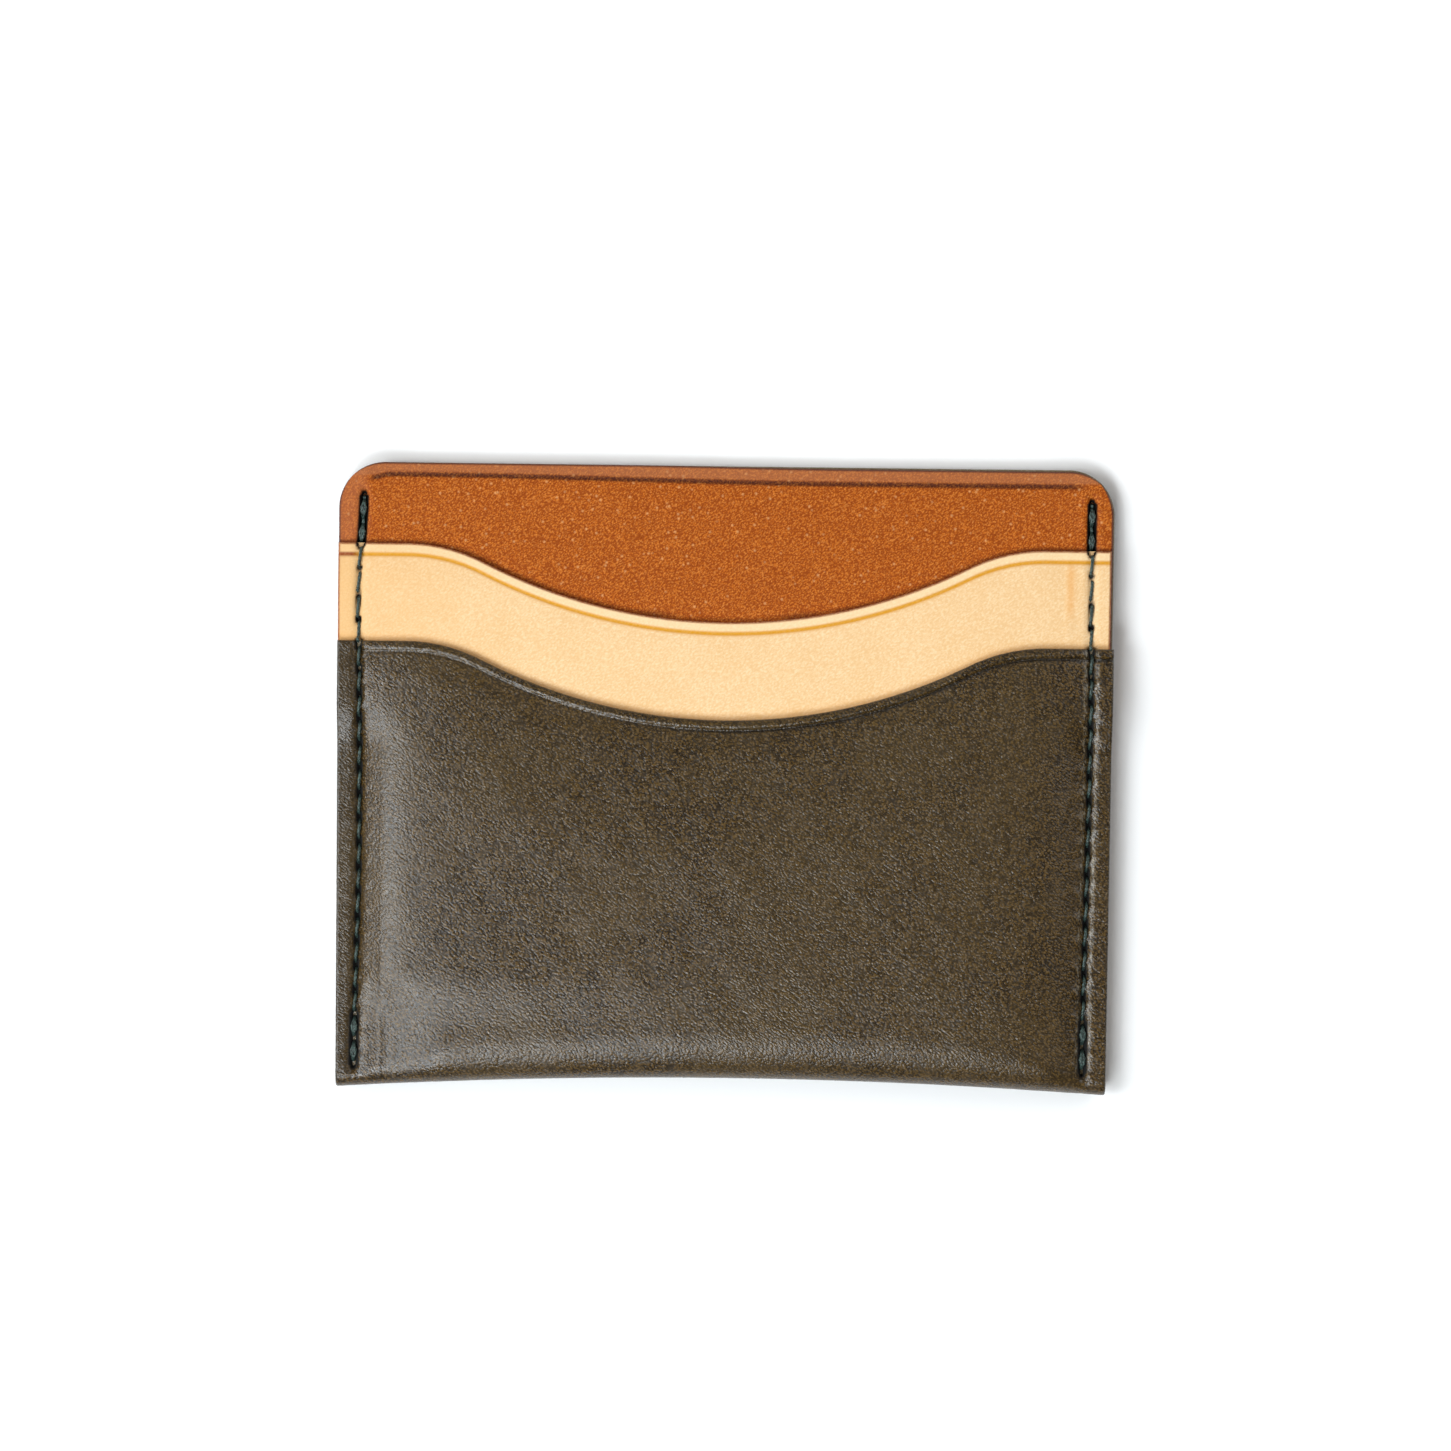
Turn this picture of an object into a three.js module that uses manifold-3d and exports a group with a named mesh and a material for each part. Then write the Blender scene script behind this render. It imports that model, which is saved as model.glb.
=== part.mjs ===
// Card holder: three stepped leather pockets sewn up both sides with a lockstitch.
//
// It lies on its back. +X is to the right as seen from the front, +Y points at the
// pocket mouths and +Z comes out of the front. The origin is under the middle of the
// flat back. All lengths are millimetres.
//
// Stack, from the back: the shell's back panel, the inner panel, the middle pocket and
// the shell's front pocket. The shell is one piece of leather, folded at the bottom.

import * as THREE from 'three';
import { mergeVertices } from 'three/addons/utils/BufferGeometryUtils.js';
import Module from 'manifold-3d';

const wasm = await Module();
wasm.setup();

// ---- Outline ----------------------------------------------------------------
const WIDTH = 100;
const HEIGHT = 80.5;
const SIDE_TAPER = 0.36; // each side, narrower at the bottom than at the top
const CORNER_RADIUS = 6; // top corners of the back and of the inner panel

// ---- Pocket mouths: flat shoulders, a rounded bend and one shallow dip ---------
const SHOULDER_HALF = 41; // the shoulders are flat beyond this distance from the middle
const SHOULDER_RADIUS = 21.6;
const MOUTH_DEPTH = 9.7;
const FRONT_SHOULDER = 57.4; // height of the front pocket's shoulders
const MIDDLE_SHOULDER = 70;

// ---- Leather and the spaces between its layers --------------------------------
const LEATHER = 0.9;
const PLY_GAP = 0.25; // where the layers are sewn flat on each other
const POCKET_GAP = 1.1; // across the middle of a pocket
const MARGIN_LIFT = 0.66; // how far the sewn margins stand clear of the back's plane
const MARGIN_INNER = 46; // the sewn margin is flat beyond this distance from the middle
const POCKET_EDGE = 42; // the pockets are full depth inside this distance

// ---- Inner panel and middle pocket ---------------------------------------------
const INNER_BASE = 5; // height of the inner panel's lower edge
const MIDDLE_BASE = 10.5; // height of the middle pocket's lower edge
const STEM_HALF = 43.4; // the middle pocket is a T: this is half its stem's width
const ARM_BASE = 50.2; // height at which the stem ends and the arms begin
const MARGIN_STEP = 6; // length over which the front margin drops below the arms
const CLOSED_BELOW = 16; // below this the middle pocket lies against the inner panel
const OPEN_ABOVE = 22;

// ---- Fold ------------------------------------------------------------------------
const FOLD_REACH_SIDE = 1.8; // depth of the rolled fold at the sewn margins
const FOLD_REACH_MIDDLE = 5;
const FOLD_RISE = 1.5; // the bottom edge pulls up this much in the middle
const FOLD_STEPS = 8;

// ---- Stitching -------------------------------------------------------------------
const SEAM_MARGIN = 2.9; // from the side edge to the seam
const SEAM_START = 3.1; // height of the lowest hole
const SEAM_END = 76;
const SEAM_STITCHES = 23;
const TACKED_STITCHES = 2; // stitches sewn twice at each end
const TACK_OFFSET = 0.3;
const BASE_SEAM_HEIGHT = 13.5;
const BASE_SEAM_HALF = 39.6;
const BASE_STITCHES = 25;
const HOLE_WIDTH = 1;
const HOLE_LENGTH = 1.05;
const THREAD_RADIUS = 0.22;
const POST_RADIUS = 0.29; // the two strands that share a hole, pulled together
const THREAD_CLEARANCE = 0.16; // from the leather's face to the thread
const KNOT_GAP = 0.3; // between the two threads inside a hole
const CUTTER_TOP = 12; // the hole cutters reach from below the object to this height

const HALF = WIDTH / 2;

function clamp01(value) {
  return Math.min(1, Math.max(0, value));
}

function smooth(from, to, value) {
  const t = clamp01((value - from) / (to - from));
  return t * t * (3 - 2 * t);
}

function lerp(from, to, amount) {
  return from + (to - from) * amount;
}

// ---- Outline functions: heights are measured up from the bottom edge -------------

function halfWidth(height) {
  return HALF - SIDE_TAPER * (1 - height / HEIGHT);
}

function mouthHeight(x, shoulder) {
  const bend = 2 * Math.atan(MOUTH_DEPTH / SHOULDER_HALF);
  const dipRadius = SHOULDER_HALF / Math.sin(bend) - SHOULDER_RADIUS;
  const away = Math.abs(x);
  if (away >= SHOULDER_HALF) {
    return shoulder;
  }
  if (away > dipRadius * Math.sin(bend)) {
    const run = SHOULDER_HALF - away;
    return shoulder - SHOULDER_RADIUS + Math.sqrt(SHOULDER_RADIUS ** 2 - run ** 2);
  }
  return shoulder - MOUTH_DEPTH + dipRadius - Math.sqrt(dipRadius ** 2 - away ** 2);
}

function roundedTop(x) {
  const into = Math.max(0, Math.abs(x) - (HALF - CORNER_RADIUS));
  return HEIGHT - CORNER_RADIUS + Math.sqrt(Math.max(0, CORNER_RADIUS ** 2 - into ** 2));
}

// ---- Height of each layer above the back's plane ----------------------------------

// 0 on the sewn margins, 1 over the open part of the pockets.
function opening(x) {
  return 1 - smooth(POCKET_EDGE, MARGIN_INNER, Math.abs(x));
}

function backUnder(x) {
  return MARGIN_LIFT * (1 - opening(x));
}

function innerUnder(x) {
  return backUnder(x) + LEATHER + lerp(PLY_GAP, POCKET_GAP, opening(x));
}

function middleUnder(x, height) {
  const openHere = opening(x) * smooth(CLOSED_BELOW, OPEN_ABOVE, height);
  return innerUnder(x) + LEATHER + lerp(PLY_GAP, POCKET_GAP, openHere);
}

// The front margin lies on the middle pocket's arms and drops by one layer below them.
function frontUnder(x, height) {
  const onArms = smooth(ARM_BASE - MARGIN_STEP, ARM_BASE - 0.2, height);
  const sewn = MARGIN_LIFT + (2 + onArms) * (LEATHER + PLY_GAP);
  const open = 3 * (LEATHER + POCKET_GAP);
  return lerp(sewn, open, opening(x));
}

// ---- Leather panels ---------------------------------------------------------------

// Positions across the panel for the columns of its grid: denser where it bends.
function columnStations() {
  const dipEdge = 31.3;
  const half = [];
  const dipSteps = 5;
  const bendSteps = 4;
  const cornerSteps = 4;
  for (let i = 0; i < dipSteps; i += 1) {
    half.push((dipEdge * i) / dipSteps);
  }
  for (let i = 0; i < bendSteps; i += 1) {
    half.push(lerp(dipEdge, SHOULDER_HALF, i / bendSteps));
  }
  half.push(SHOULDER_HALF, POCKET_EDGE, 43, 44, 45);
  for (let i = 1; i < cornerSteps; i += 1) {
    const turn = (i / cornerSteps) * (Math.PI / 2);
    half.push(HALF - CORNER_RADIUS + CORNER_RADIUS * Math.sin(turn));
  }
  half.push(HALF);
  const left = half.slice(1).reverse().map((x) => -x);
  return [...left, ...half];
}

const COLUMNS = columnStations();

// A sheet is a box whose grid is bent to shape. place(column, row, side) gives the
// point for a grid position; side is 1 on the outer face and 0 on the inner face.
function sheetGeometry(rowCount, place) {
  const geometry = new THREE.BoxGeometry(1, 1, 1, COLUMNS.length - 1, rowCount, 1);
  const points = geometry.attributes.position;
  for (let i = 0; i < points.count; i += 1) {
    const column = Math.round((points.getX(i) + 0.5) * (COLUMNS.length - 1));
    const row = Math.round((points.getY(i) + 0.5) * rowCount);
    const side = points.getZ(i) > 0 ? 1 : 0;
    const [x, height, z] = place(COLUMNS[column], row, side);
    points.setXYZ(i, x, height - HEIGHT / 2, z);
  }
  return geometry;
}

function foldReach(x) {
  return lerp(FOLD_REACH_SIDE, FOLD_REACH_MIDDLE, opening(x) * (1 - (x / HALF) ** 4));
}

function foldRise(x) {
  return FOLD_RISE * (1 - (x / HALF) ** 2);
}

// Rows run from the back's top edge down the back, round the fold and up the front.
function shellGeometry() {
  const backRows = 4;
  const frontStops = [0.4, 0.759, 0.795, 0.831, 0.867, 1];
  const rowCount = backRows + FOLD_STEPS + frontStops.length;
  return sheetGeometry(rowCount, (column, row, side) => {
    const foldTop = foldRise(column) + foldReach(column);
    if (row <= backRows) {
      const height = lerp(roundedTop(column), foldTop, row / backRows);
      const x = (column * halfWidth(height)) / HALF;
      return [x, height, backUnder(column) + (side ? 0 : LEATHER)];
    }
    if (row < backRows + FOLD_STEPS) {
      const turn = ((row - backRows) / FOLD_STEPS - 0.5) * Math.PI;
      const under = backUnder(column);
      const over = frontUnder(column, foldTop) + LEATHER;
      const inset = side ? 0 : LEATHER;
      const height = foldTop - (foldReach(column) - inset) * Math.cos(turn);
      const z = (under + over) / 2 + ((over - under) / 2 - inset) * Math.sin(turn);
      return [(column * halfWidth(height)) / HALF, height, z];
    }
    const stop = row === backRows + FOLD_STEPS ? 0 : frontStops[row - backRows - FOLD_STEPS - 1];
    const height = lerp(foldTop, mouthHeight(column, FRONT_SHOULDER), stop);
    const x = (column * halfWidth(height)) / HALF;
    return [x, height, frontUnder(column, height) + (side ? LEATHER : 0)];
  });
}

function middleGeometry() {
  const stops = [0, 0.09, 0.125, 0.16, 0.2, 0.66, 1];
  return sheetGeometry(stops.length - 1, (column, row, side) => {
    const height = lerp(MIDDLE_BASE, mouthHeight(column, MIDDLE_SHOULDER), stops[row]);
    const x = (column * halfWidth(height)) / HALF;
    return [x, height, middleUnder(column, height) + (side ? LEATHER : 0)];
  });
}

function innerGeometry() {
  const rowCount = 3;
  return sheetGeometry(rowCount, (column, row, side) => {
    const height = lerp(INNER_BASE, roundedTop(column), row / rowCount);
    const x = (column * halfWidth(height)) / HALF;
    return [x, height, innerUnder(column) + (side ? LEATHER : 0)];
  });
}

// ---- Solids and cuts ----------------------------------------------------------------

function toSolid(geometry) {
  const bare = geometry.clone();
  bare.deleteAttribute('normal');
  bare.deleteAttribute('uv');
  const merged = mergeVertices(bare, 1e-4);
  return new wasm.Manifold(new wasm.Mesh({
    numProp: 3,
    vertProperties: Float32Array.from(merged.attributes.position.array),
    triVerts: Uint32Array.from(merged.index.array),
  }));
}

function toGeometry(solid) {
  const mesh = solid.getMesh();
  const geometry = new THREE.BufferGeometry();
  geometry.setAttribute('position', new THREE.BufferAttribute(mesh.vertProperties, 3));
  geometry.setIndex(new THREE.BufferAttribute(mesh.triVerts, 1));
  geometry.computeVertexNormals();
  return geometry;
}

function joined(solids) {
  return solids.reduce((whole, next) => whole.add(next));
}

// The holes go straight through every layer, so one set of cutters serves them all.
function holeCutters(holes, width, length) {
  return joined(holes.map(([x, height]) => {
    const cutter = new THREE.BoxGeometry(width, length, CUTTER_TOP);
    cutter.translate(x, height - HEIGHT / 2, CUTTER_TOP / 2 - 1);
    return toSolid(cutter);
  }));
}

// What is cut away beside the middle pocket's stem, below its arms.
function stemCutters() {
  const width = HALF;
  return joined([-1, 1].map((side) => {
    const cutter = new THREE.BoxGeometry(width, ARM_BASE, CUTTER_TOP);
    const x = side * (STEM_HALF + width / 2);
    cutter.translate(x, (ARM_BASE - HEIGHT) / 2, CUTTER_TOP / 2);
    return toSolid(cutter);
  }));
}

function sideHoles(side) {
  const pitch = (SEAM_END - SEAM_START) / SEAM_STITCHES;
  const holes = [];
  for (let i = 0; i <= SEAM_STITCHES; i += 1) {
    const height = SEAM_START + i * pitch;
    holes.push([side * (halfWidth(height) - SEAM_MARGIN), height]);
  }
  return holes;
}

function baseHoles() {
  const holes = [];
  for (let i = 0; i <= BASE_STITCHES; i += 1) {
    const x = lerp(-BASE_SEAM_HALF, BASE_SEAM_HALF, i / BASE_STITCHES);
    holes.push([x, BASE_SEAM_HEIGHT]);
  }
  return holes;
}

// ---- Thread -----------------------------------------------------------------------

// A curve through its points whose steps fall exactly on them.
class ThreadRun extends THREE.CatmullRomCurve3 {
  getPointAt(u, target) {
    return this.getPoint(u, target);
  }

  getTangentAt(u, target) {
    return this.getTangent(u, target);
  }
}

function threadSection() {
  const sides = 4;
  const section = new THREE.Shape();
  for (let i = 0; i < sides; i += 1) {
    const turn = (i / sides) * 2 * Math.PI;
    const x = THREAD_RADIUS * Math.cos(turn);
    const y = THREAD_RADIUS * Math.sin(turn);
    if (i === 0) {
      section.moveTo(x, y);
    } else {
      section.lineTo(x, y);
    }
  }
  section.closePath();
  return section;
}

// The surface run of a thread over the holes first to last, shifted sideways by offset,
// in so many straight steps a stitch.
function threadRun(holes, first, last, offset, levelAt, stepsPerStitch) {
  const points = [];
  for (let i = first * stepsPerStitch; i <= last * stepsPerStitch; i += 1) {
    const hole = Math.floor(i / stepsPerStitch);
    const along = i / stepsPerStitch - hole;
    const next = Math.min(hole + 1, last);
    const x = lerp(holes[hole][0], holes[next][0], along);
    const height = lerp(holes[hole][1], holes[next][1], along);
    points.push(new THREE.Vector3(x + offset, height - HEIGHT / 2, levelAt(height)));
  }
  const run = new ThreadRun(points);
  return toSolid(new THREE.ExtrudeGeometry(threadSection(), {
    steps: points.length - 1,
    extrudePath: run,
    bevelEnabled: false,
  }));
}

// Inside a hole a thread's two strands lie together as one short post.
function threadPost(x, height, from, to) {
  const post = new THREE.CylinderGeometry(POST_RADIUS, POST_RADIUS, Math.abs(to - from), 5);
  post.rotateX(Math.PI / 2);
  post.translate(x, height - HEIGHT / 2, (from + to) / 2);
  return toSolid(post);
}

// levelAt gives the height of the thread's centre line, knotAt the end of its posts.
function threadSolid(holes, levelAt, knotAt, { tacked = false, stepsPerStitch = 1 } = {}) {
  const last = holes.length - 1;
  const parts = [threadRun(holes, 0, last, 0, levelAt, stepsPerStitch)];
  if (tacked) {
    const inward = holes[0][0] < 0 ? TACK_OFFSET : -TACK_OFFSET;
    const lastTack = last - TACKED_STITCHES;
    parts.push(threadRun(holes, 0, TACKED_STITCHES, inward, levelAt, stepsPerStitch));
    parts.push(threadRun(holes, lastTack, last, inward, levelAt, stepsPerStitch));
  }
  for (const [x, height] of holes) {
    parts.push(threadPost(x, height, levelAt(height), knotAt(height)));
  }
  return joined(parts);
}

// Top of the leather at the seam: the front pocket, the middle pocket or the inner panel.
function seamTop(height) {
  if (height <= FRONT_SHOULDER) {
    return frontUnder(HALF, height) + LEATHER;
  }
  if (height <= MIDDLE_SHOULDER) {
    return middleUnder(HALF, height) + LEATHER;
  }
  return innerUnder(HALF) + LEATHER;
}

// The needle thread passes over the mouths' edges, so it follows the highest leather
// within half a stitch of each point.
function needleLevel(height) {
  const reach = (SEAM_END - SEAM_START) / SEAM_STITCHES / 2 + 0.1;
  const top = Math.max(seamTop(height - reach), seamTop(height), seamTop(height + reach));
  return top + THREAD_CLEARANCE + THREAD_RADIUS;
}

function bobbinLevel() {
  return MARGIN_LIFT - THREAD_CLEARANCE - THREAD_RADIUS;
}

function seamKnot(height) {
  return (MARGIN_LIFT + seamTop(height)) / 2;
}

const BASE_TOP = middleUnder(0, BASE_SEAM_HEIGHT) + LEATHER;
const BASE_UNDER = innerUnder(0);
const BASE_KNOT = (BASE_TOP + BASE_UNDER) / 2;

// ---- Materials -----------------------------------------------------------------------

function finish(color, roughness) {
  return new THREE.MeshStandardMaterial({ color, roughness, metalness: 0 });
}

const OLIVE_LEATHER = finish('#54472f', 0.45);
const NATURAL_LEATHER = finish('#f3cd98', 0.6);
const BROWN_LEATHER = finish('#b0602a', 0.65);
const GREEN_THREAD = finish('#33443f', 0.55);

// ---- Assembly ------------------------------------------------------------------------

const holder = new THREE.Group();

function addPiece(name, solid, material) {
  const mesh = new THREE.Mesh(toGeometry(solid), material);
  mesh.name = name;
  holder.add(mesh);
}

const leftHoles = sideHoles(-1);
const rightHoles = sideHoles(1);
const bottomHoles = baseHoles();
const sideCutters = holeCutters([...leftHoles, ...rightHoles], HOLE_WIDTH, HOLE_LENGTH);
const baseCutters = holeCutters(bottomHoles, HOLE_LENGTH, HOLE_WIDTH);

addPiece('outer_shell', toSolid(shellGeometry()).subtract(sideCutters), OLIVE_LEATHER);
const holeSet = sideCutters.add(baseCutters);
const middleCutters = holeSet.add(stemCutters());
addPiece('middle_pocket', toSolid(middleGeometry()).subtract(middleCutters), NATURAL_LEATHER);
addPiece('inner_panel', toSolid(innerGeometry()).subtract(holeSet), BROWN_LEATHER);

for (const [side, holes] of [['left', leftHoles], ['right', rightHoles]]) {
  const aboveKnot = (height) => seamKnot(height) + KNOT_GAP / 2;
  const belowKnot = (height) => seamKnot(height) - KNOT_GAP / 2;
  const needle = threadSolid(holes, needleLevel, aboveKnot, { tacked: true, stepsPerStitch: 2 });
  const bobbin = threadSolid(holes, bobbinLevel, belowKnot, { tacked: true });
  addPiece(`${side}_needle_thread`, needle, GREEN_THREAD);
  addPiece(`${side}_bobbin_thread`, bobbin, GREEN_THREAD);
}

const baseNeedle = threadSolid(
  bottomHoles,
  () => BASE_TOP + THREAD_CLEARANCE + THREAD_RADIUS,
  () => BASE_KNOT + KNOT_GAP / 2,
);
const baseBobbin = threadSolid(
  bottomHoles,
  () => BASE_UNDER - THREAD_CLEARANCE - THREAD_RADIUS,
  () => BASE_KNOT - KNOT_GAP / 2,
);
addPiece('base_needle_thread', baseNeedle, GREEN_THREAD);
addPiece('base_bobbin_thread', baseBobbin, GREEN_THREAD);

export default holder;
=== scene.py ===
"""Looks for the card holder: three leather pieces and the threads that sew them.

Shapes are worked out in millimetres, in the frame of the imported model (+X right,
+Y towards the pocket mouths, +Z out of the front), and made in metres. "Height"
is measured up from the bottom edge of the card holder, "z" from the plane of its back.
The "front" is the lowest pocket, the half of the outer shell that is folded up. A pair of
numbers for smooth() or fade() is where a soft step starts and where it ends.
"""

import math
from collections import namedtuple

import bpy
import numpy as np
from mathutils import Euler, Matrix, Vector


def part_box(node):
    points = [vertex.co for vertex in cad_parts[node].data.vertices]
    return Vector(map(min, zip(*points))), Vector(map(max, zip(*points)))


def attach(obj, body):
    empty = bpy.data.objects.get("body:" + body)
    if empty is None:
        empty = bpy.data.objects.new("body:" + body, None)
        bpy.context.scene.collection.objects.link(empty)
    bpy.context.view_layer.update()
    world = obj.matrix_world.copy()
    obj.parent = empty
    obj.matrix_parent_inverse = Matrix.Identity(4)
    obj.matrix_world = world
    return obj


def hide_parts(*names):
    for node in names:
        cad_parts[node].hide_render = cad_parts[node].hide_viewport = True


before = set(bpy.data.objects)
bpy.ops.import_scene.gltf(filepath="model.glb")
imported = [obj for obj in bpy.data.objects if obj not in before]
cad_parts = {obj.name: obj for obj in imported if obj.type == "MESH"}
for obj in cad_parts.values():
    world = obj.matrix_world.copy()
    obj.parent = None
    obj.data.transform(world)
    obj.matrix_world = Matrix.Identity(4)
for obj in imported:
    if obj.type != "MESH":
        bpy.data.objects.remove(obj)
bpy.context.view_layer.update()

# ---- Sizes, mm ----

MM = 0.001  # in metres
shell_low, shell_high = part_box("outer_shell")
HALF = (shell_high.x - shell_low.x) / 2 / MM  # half the width, at the top
HEIGHT = (shell_high.y - shell_low.y) / MM
THREAD_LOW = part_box("left_bobbin_thread")[0].z / MM

SIDE_TAPER = 0.52  # each side, narrower at the bottom
CORNER_RADIUS = 6.0
LEATHER = 1.12  # thickness
EDGE_ROUND = 0.3  # rounding of the cut edges
PLY_GAP = 0.03  # between layers that are sewn together
POCKET_GAP = 0.88  # inside a pocket
MOUTH_GAP = 0.12  # at a pocket's mouth
GAP_LENGTH = 20.0  # a pocket opens to its full gap over this depth

SHOULDER_HALF = 41.0  # a mouth bends down from its flat shoulders inside this x
SHOULDER_RADIUS = 21.6
MOUTH_DEPTH = 9.7
FRONT_TOP = 57.4  # heights of the mouths' shoulders
MIDDLE_TOP = 70.0
CREASE_IN = 1.35  # from the front's mouth to the line pressed along it
MIDDLE_CREASE_IN = 1.5

INNER_BASE = 5.0  # heights of the hidden lower edges
MIDDLE_BASE = 10.5
STEM_HALF = 43.4  # the middle pocket is this wide each way below its two arms
ARM_BASE = 50.2
MIDDLE_IN = 0.45  # the right edges of the layers inside stand back from the shell's
INNER_IN = 0.25
INNER_LEAN = (0.05, 0.27)  # the inner panel's top sits this far down, left and right
INNER_LEAN_X = (-12, 14)
INNER_LEAN_FROM = 60

MARGIN_LIFT = 0.66  # the sewn margins stand this far clear of the back's plane
RAMP_OUTER = 46.5  # x where the sewn margins end and the pockets begin to rise
RAMP_SHARE = 0.5  # share of the rise beside the margins: the rest is a gentle crown
RAMP_LENGTH = 4.8
CROWN_LENGTH = 12.0
FOLD_REACH_SIDE = 1.8  # length of the fold along Y
FOLD_REACH_MIDDLE = 6.8
FOLD_RISE = 1.75  # the bottom edge bows up this far in the middle

SEAM_START = 3.1  # heights of the first and last stitch holes
SEAM_END = 76.0
STITCHES = 23
STITCH = (SEAM_END - SEAM_START) / STITCHES
HOLE_HEIGHTS = np.linspace(SEAM_START, SEAM_END, STITCHES + 1)
SEAM_MARGIN = 2.9
TACKED = 2  # stitches at each end of a side seam that are sewn over again
TACK_HALF = 0.7  # half the width of leather that they pull down
TACK_BULGE = 0.24  # how far the outer threads of a tacked stitch part
BASE_SEAM_HEIGHT = 13.5
BASE_SEAM_HALF = 39.6
BASE_STITCHES = 25


# ---- Small helpers ----


def smooth(start, end, value):
    t = np.clip((value - start) / (end - start), 0.0, 1.0)
    return t * t * (3 - 2 * t)


def fade(pair, value):
    """1 before the pair and 0 after it."""
    return 1 - smooth(*pair, value)


def lerp(start, end, amount):
    return start + (end - start) * amount


def hump(value, centre, width):
    """A bell of height 1 at centre."""
    return np.exp(-(((value - centre) / width) ** 2))


def flat_line(distance, half):
    """1 across a line of this half width, with soft sides."""
    return np.exp(-((distance / half) ** 4))


def add_object(name, data):
    made = bpy.data.objects.new(name, data)
    bpy.context.scene.collection.objects.link(made)
    return made


def share_of(rows):
    """How far each row is from the first to the last, as a column of 0 to 1."""
    return (rows[:, None] - rows[0]) / (rows[-1] - rows[0])


# ---- Outline ----

# how the lines of stitches wander from their margin
RIGHT_WAVE = 0.1
RIGHT_WAVE_LENGTH = 9.0
RIGHT_LOW_SHIFT = 0.15
RIGHT_LOW = (0, 25)
LEFT_LOW_SHIFT = -0.6
LEFT_LOW = (0, 32)
LEFT_HIGH_SHIFT = 0.3
LEFT_HIGH = (68, 76)
LEFT_DENT = (62, 6)  # height and length


def half_width(height):
    return HALF - SIDE_TAPER * (1 - height / HEIGHT)


def mouth(x, shoulder):
    """Height of a pocket's edge: flat shoulders, a rounded bend and a shallow dip."""
    bend = 2 * math.atan(MOUTH_DEPTH / SHOULDER_HALF)
    dip_radius = SHOULDER_HALF / math.sin(bend) - SHOULDER_RADIUS
    away = np.abs(x)
    run = np.clip(SHOULDER_HALF - away, 0, SHOULDER_RADIUS)
    rounded = shoulder - SHOULDER_RADIUS + np.sqrt(SHOULDER_RADIUS**2 - run**2)
    dip_run = np.clip(away, 0, dip_radius)
    dip = shoulder - MOUTH_DEPTH + dip_radius - np.sqrt(dip_radius**2 - dip_run**2)
    return np.where(away > dip_radius * math.sin(bend), rounded, dip)


def seam_margin(side, height):
    """Distance from the side edge to the stitches, which wander a little."""
    if side > 0:
        wave = RIGHT_WAVE * np.sin(height / RIGHT_WAVE_LENGTH)
        return SEAM_MARGIN + wave + RIGHT_LOW_SHIFT * fade(RIGHT_LOW, height)
    low = LEFT_LOW_SHIFT * fade(LEFT_LOW, height)
    high = LEFT_HIGH_SHIFT * smooth(*LEFT_HIGH, height)
    dent = LEFT_HIGH_SHIFT * hump(height, *LEFT_DENT)
    return SEAM_MARGIN + low + (high - dent)


def seam_x(side, height):
    return side * (half_width(height) - seam_margin(side, height))


def rounded_corners(x, height):
    """Moves the points of the two top corner squares into quarter circles."""
    a = np.clip((np.abs(x) - (HALF - CORNER_RADIUS)) / CORNER_RADIUS, 0, 1)
    b = np.clip((height - (HEIGHT - CORNER_RADIUS)) / CORNER_RADIUS, 0, 1)
    both = (a > 0) & (b > 0)
    new_a = a * np.sqrt(1 - b * b / 2)
    new_b = b * np.sqrt(1 - a * a / 2)
    new_x = np.sign(x) * (HALF - CORNER_RADIUS + CORNER_RADIUS * new_a)
    new_height = HEIGHT - CORNER_RADIUS + CORNER_RADIUS * new_b
    return np.where(both, new_x, x), np.where(both, new_height, height)


# ---- Height of each layer above the back's plane ----

# the lower left corner, where the layers have settled closer together
SETTLED_LEFT = (-47.2, -42.6)
SETTLED_RIGHT = (-43.0, -35.0)
SETTLED_TOP = (9.0, 15.4)
FRONT_SETTLED = 0.7
INNER_SETTLED = 0.3

POCKET_CLOSED = (BASE_SEAM_HEIGHT + 1, BASE_SEAM_HEIGHT + 10)  # above its base seam
ARM_STEP = (ARM_BASE - 7, ARM_BASE - 0.5)  # the front drops off the arms here
MARGIN_EDGE = RAMP_OUTER + 0.8
MARGIN_BLEND = 3.5
SAG = (0.6, 0.1)  # the front sags below the middle pocket, most on the left
SAG_ALONG = (-38, 5)
SAG_TOP = (7.0, 15.0)


def opening(x):
    """0 on the sewn margins, rising steeply beside them and then gently towards 1."""
    inside = np.clip(RAMP_OUTER - np.abs(x), 0, None)
    steep = 1 - np.exp(-inside / RAMP_LENGTH)
    gentle = 1 - np.exp(-inside / CROWN_LENGTH)
    return RAMP_SHARE * steep + (1 - RAMP_SHARE) * gentle


def back_under(x):
    return MARGIN_LIFT * (1 - opening(x))


def pocket_gap(x, below_mouth):
    full = lerp(MOUTH_GAP, POCKET_GAP, smooth(0, GAP_LENGTH, below_mouth))
    return lerp(PLY_GAP, full, opening(x))


def settled_corner(x, height):
    along = fade(SETTLED_RIGHT, x) * smooth(*SETTLED_LEFT, x)
    return along * fade(SETTLED_TOP, height)


def inner_under(x, height):
    settled = INNER_SETTLED * settled_corner(x, height)
    return back_under(x) + LEATHER + pocket_gap(x, HEIGHT - height) - settled


def middle_under(x, height):
    below = mouth(x, MIDDLE_TOP) - height
    gap = lerp(PLY_GAP, pocket_gap(x, below), smooth(*POCKET_CLOSED, height))
    return inner_under(x, height) + LEATHER + gap


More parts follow.
